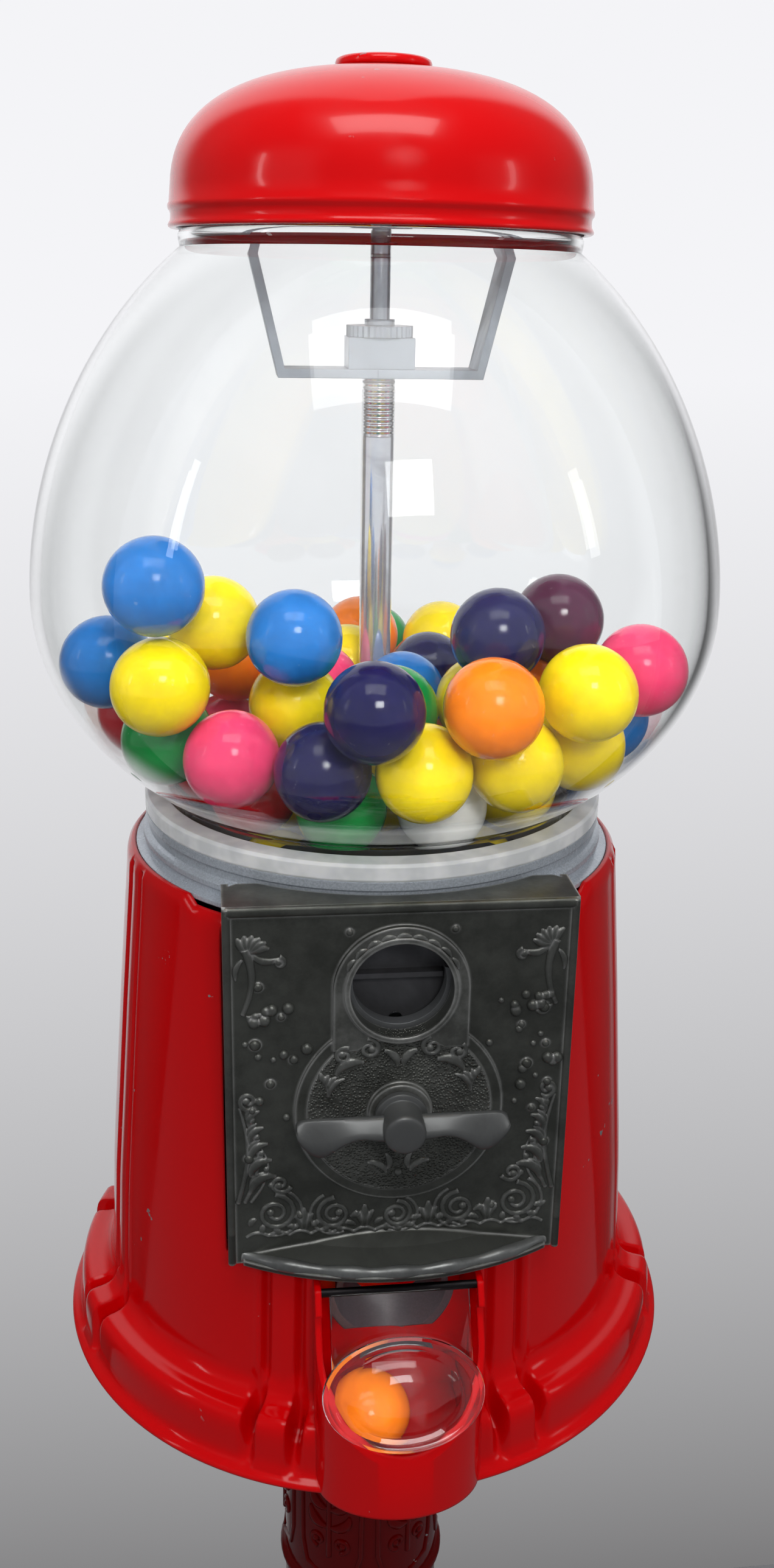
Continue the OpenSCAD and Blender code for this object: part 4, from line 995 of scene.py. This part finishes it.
# leaf sprays that climb beside the dial, with long lines that follow them
for s in (-1, 1):
    for k, gap in enumerate((0.0, 1.9, 3.6)):
        line = [(s * (44.2 - gap - (2.8 + k) * math.sin(i / 18 * 2.9)), 84 + (30 - 5 * k) * (i / 18))
                for i in range(19)]
        stroke(line, [0.62 - 0.1 * k - 0.3 * i / 18 for i in range(19)])
    for k in range(5):
        z = 87 + 5.2 * k
        leaf((s * 40.6, z), (s * (33.6 + 1.1 * k), z + 5.0), -0.25 * s, 1.25 - 0.1 * k)
        leaf((s * 40.8, z + 1.4), (s * (36.4 + 0.8 * k), z + 6.4), -0.2 * s, 0.7)
        add_bead(s * (35.2 + 1.2 * k), z + 2.2, 0.75)
    curl(s * 41.0, 116.0, -90, s * 1.25, 2.9, 0.6)
    curl(s * 32.5, 89.5, 200 if s > 0 else -20, s * 1.3, 3.2, 0.7)
# upper corners: a shell of ribs over a long stem that ends in a curl
for s in (-1, 1):
    stem = [(s * (43.0 - 3.4 * math.sin(0.5 + i / 14 * 2.4)), 161 - 19 * (i / 14)) for i in range(15)]
    stroke(stem, [1.0 - 0.5 * i / 14 for i in range(15)])
    curl(s * 38.3, 141.0, 20 if s > 0 else 160, -s * 0.95, 2.4, 0.7)
    for k in range(6):
        t = math.radians(58 + 22 * k)
        leaf((s * 40.4, 160.0), (s * (40.4 + 5.6 * math.cos(t)), 160.0 + 5.0 * math.sin(t)), 0.08, 1.0)
    leaf((s * 39.6, 159.6), (s * 32.4, 158.2), 0.22 * s, 0.9)
    curl(s * 32.4, 156.8, 90, s * 0.9, 1.7, 0.5)
    leaf((s * 42.0, 158.0), (s * 43.8, 152.0), 0.15 * s, 0.7)
# foliage on the foot of the arch and sprigs on the dial
for s in (-1, 1):
    curl(s * 8.6, 131.2, 100, s * 1.3, 3.2, 0.8, face=DISC)
    curl(s * 15.4, 129.4, 60, -s * 1.2, 2.7, 0.7, face=DISC)
    leaf((s * 10, 127.2), (s * 17.5, 123.6), 0.2 * s, 1.2, DISC)
    leaf((s * 4.5, 130.5), (s * 0.8, 125.6), -0.2 * s, 1.0, DISC)
    for k in range(4):
        leaf((s * 19.5, 117 + 1.6 * k), (s * (15.0 + 2.2 * k), 122.4 + 0.7 * k), -0.18 * s, 0.75, DISC)
    leaf((s * 3.4, 92.5), (s * 8.6, 95.8), 0.2 * s, 0.9, DISC)
    leaf((s * 2.8, 93.5), (s * 3.6, 98.6), 0.15 * s, 0.8, DISC)
add_bead(0, 92.5, 1.0, DISC)
for a in range(-4, 5):
    t = math.radians(90 + a * 15)
    leaf((16.0 * math.cos(t + 0.1), 148.0 + 16.0 * math.sin(t + 0.1)),
         (16.0 * math.cos(t - 0.14), 148.0 + 16.0 * math.sin(t - 0.14)), 0.14, 0.6, ARCH)
# loose beads
random.seed(3)
for k in range(44):
    s = -1 if k % 3 == 0 else 1
    x, z = s * random.uniform(24, 43.5), random.uniform(108, 145)
    if math.hypot(x, z - 112) > 30.5:
        add_bead(x, z, random.choice((0.7, 0.9, 1.1, 1.4)))
finish_piece(join(relief), "plate_relief", relief_zinc, "base", "coin_plate", angle=60)

# %% [markdown]
# The top of the post is cast with six panels of curls and leaves. They are made
# flat, side by side, with the same tools as the plate's relief. The finished
# band is then wrapped round the post, by turning how far a point lies to the
# side into an angle.

# %% Relief of the post
POST = 28.0                   # radius of the post
LOW, HIGH = -111.0, -30.0     # ends of the panels, below the machine
relief = []
for k in range(6):
    mid = math.tau * POST / 6 * (k - 2.5)
    for s in (-1, 1):
        frame_line = [(1.2, LOW), (9.5, LOW + 3), (11.6, LOW + 12), (11.8, LOW + 34), (11.4, HIGH - 12),
                      (8.6, HIGH - 3), (1.0, HIGH + 2)]
        stroke([(mid + s * x, z) for x, z in frame_line], [0.7], 0.9, POST)
        curl(mid + s * 4.6, HIGH - 12.0, 90, -s * 1.3, 3.6, 0.8, 0.75, POST)
        curl(mid + s * 4.4, LOW + 16.0, -90, s * 1.3, 3.4, 0.8, 0.7, POST)
        for j in range(5):
            z = LOW + 23 + 8.0 * j
            leaf((mid + s * 0.8, z), (mid + s * (7.6 - 0.6 * j), z + 6.5), -0.22 * s, 1.5, POST)
    stroke([(mid, LOW + 10), (mid, HIGH - 16)], [0.8, 0.6], 0.9, POST)
    add_bead(mid, HIGH - 5.5, 1.5, POST)
wrapped = join(relief)
for v in wrapped.data.vertices:
    turn, away = v.co.x / (POST * MM), -v.co.y
    v.co.x, v.co.y = away * math.sin(turn), -away * math.cos(turn)
finish_piece(wrapped, "post_relief", post_red_painted_shade, "base", "stand_post", angle=60)

# %% [markdown]
# The awning over the flap ends in a rolled, softly scalloped lip. It is a rope
# along the rim, whose thickness, height and reach swell together.

# %% Rolled lip of the awning
HALF, RIM, LIP_Z = 43.0, 86.9, 65.9      # half width of the awning, radius and height of its rim

def lip_point(t):
    "A point of the rim and its thickness, t from -1 at the left end to 1 at the right."
    x = HALF * t
    swell = 0.5 + 0.5 * math.cos(t * math.pi * 5.5 + 0.6 * math.sin(t * 4))
    reach = RIM - 0.7 * (1 - swell) * (0.4 + 0.6 * abs(t))
    place = Vector((x, -math.sqrt(reach * reach - x * x), LIP_Z + 0.4 * swell)) * MM
    return place + Vector((0, 0, UNDER)), 1.55 + 0.45 * swell

places, radii = zip(*[lip_point(i / 48 - 1) for i in range(97)])
finish_piece(rope(places, radii, 4), "awning_lip", lip_zinc, "base", "coin_plate", angle=60)
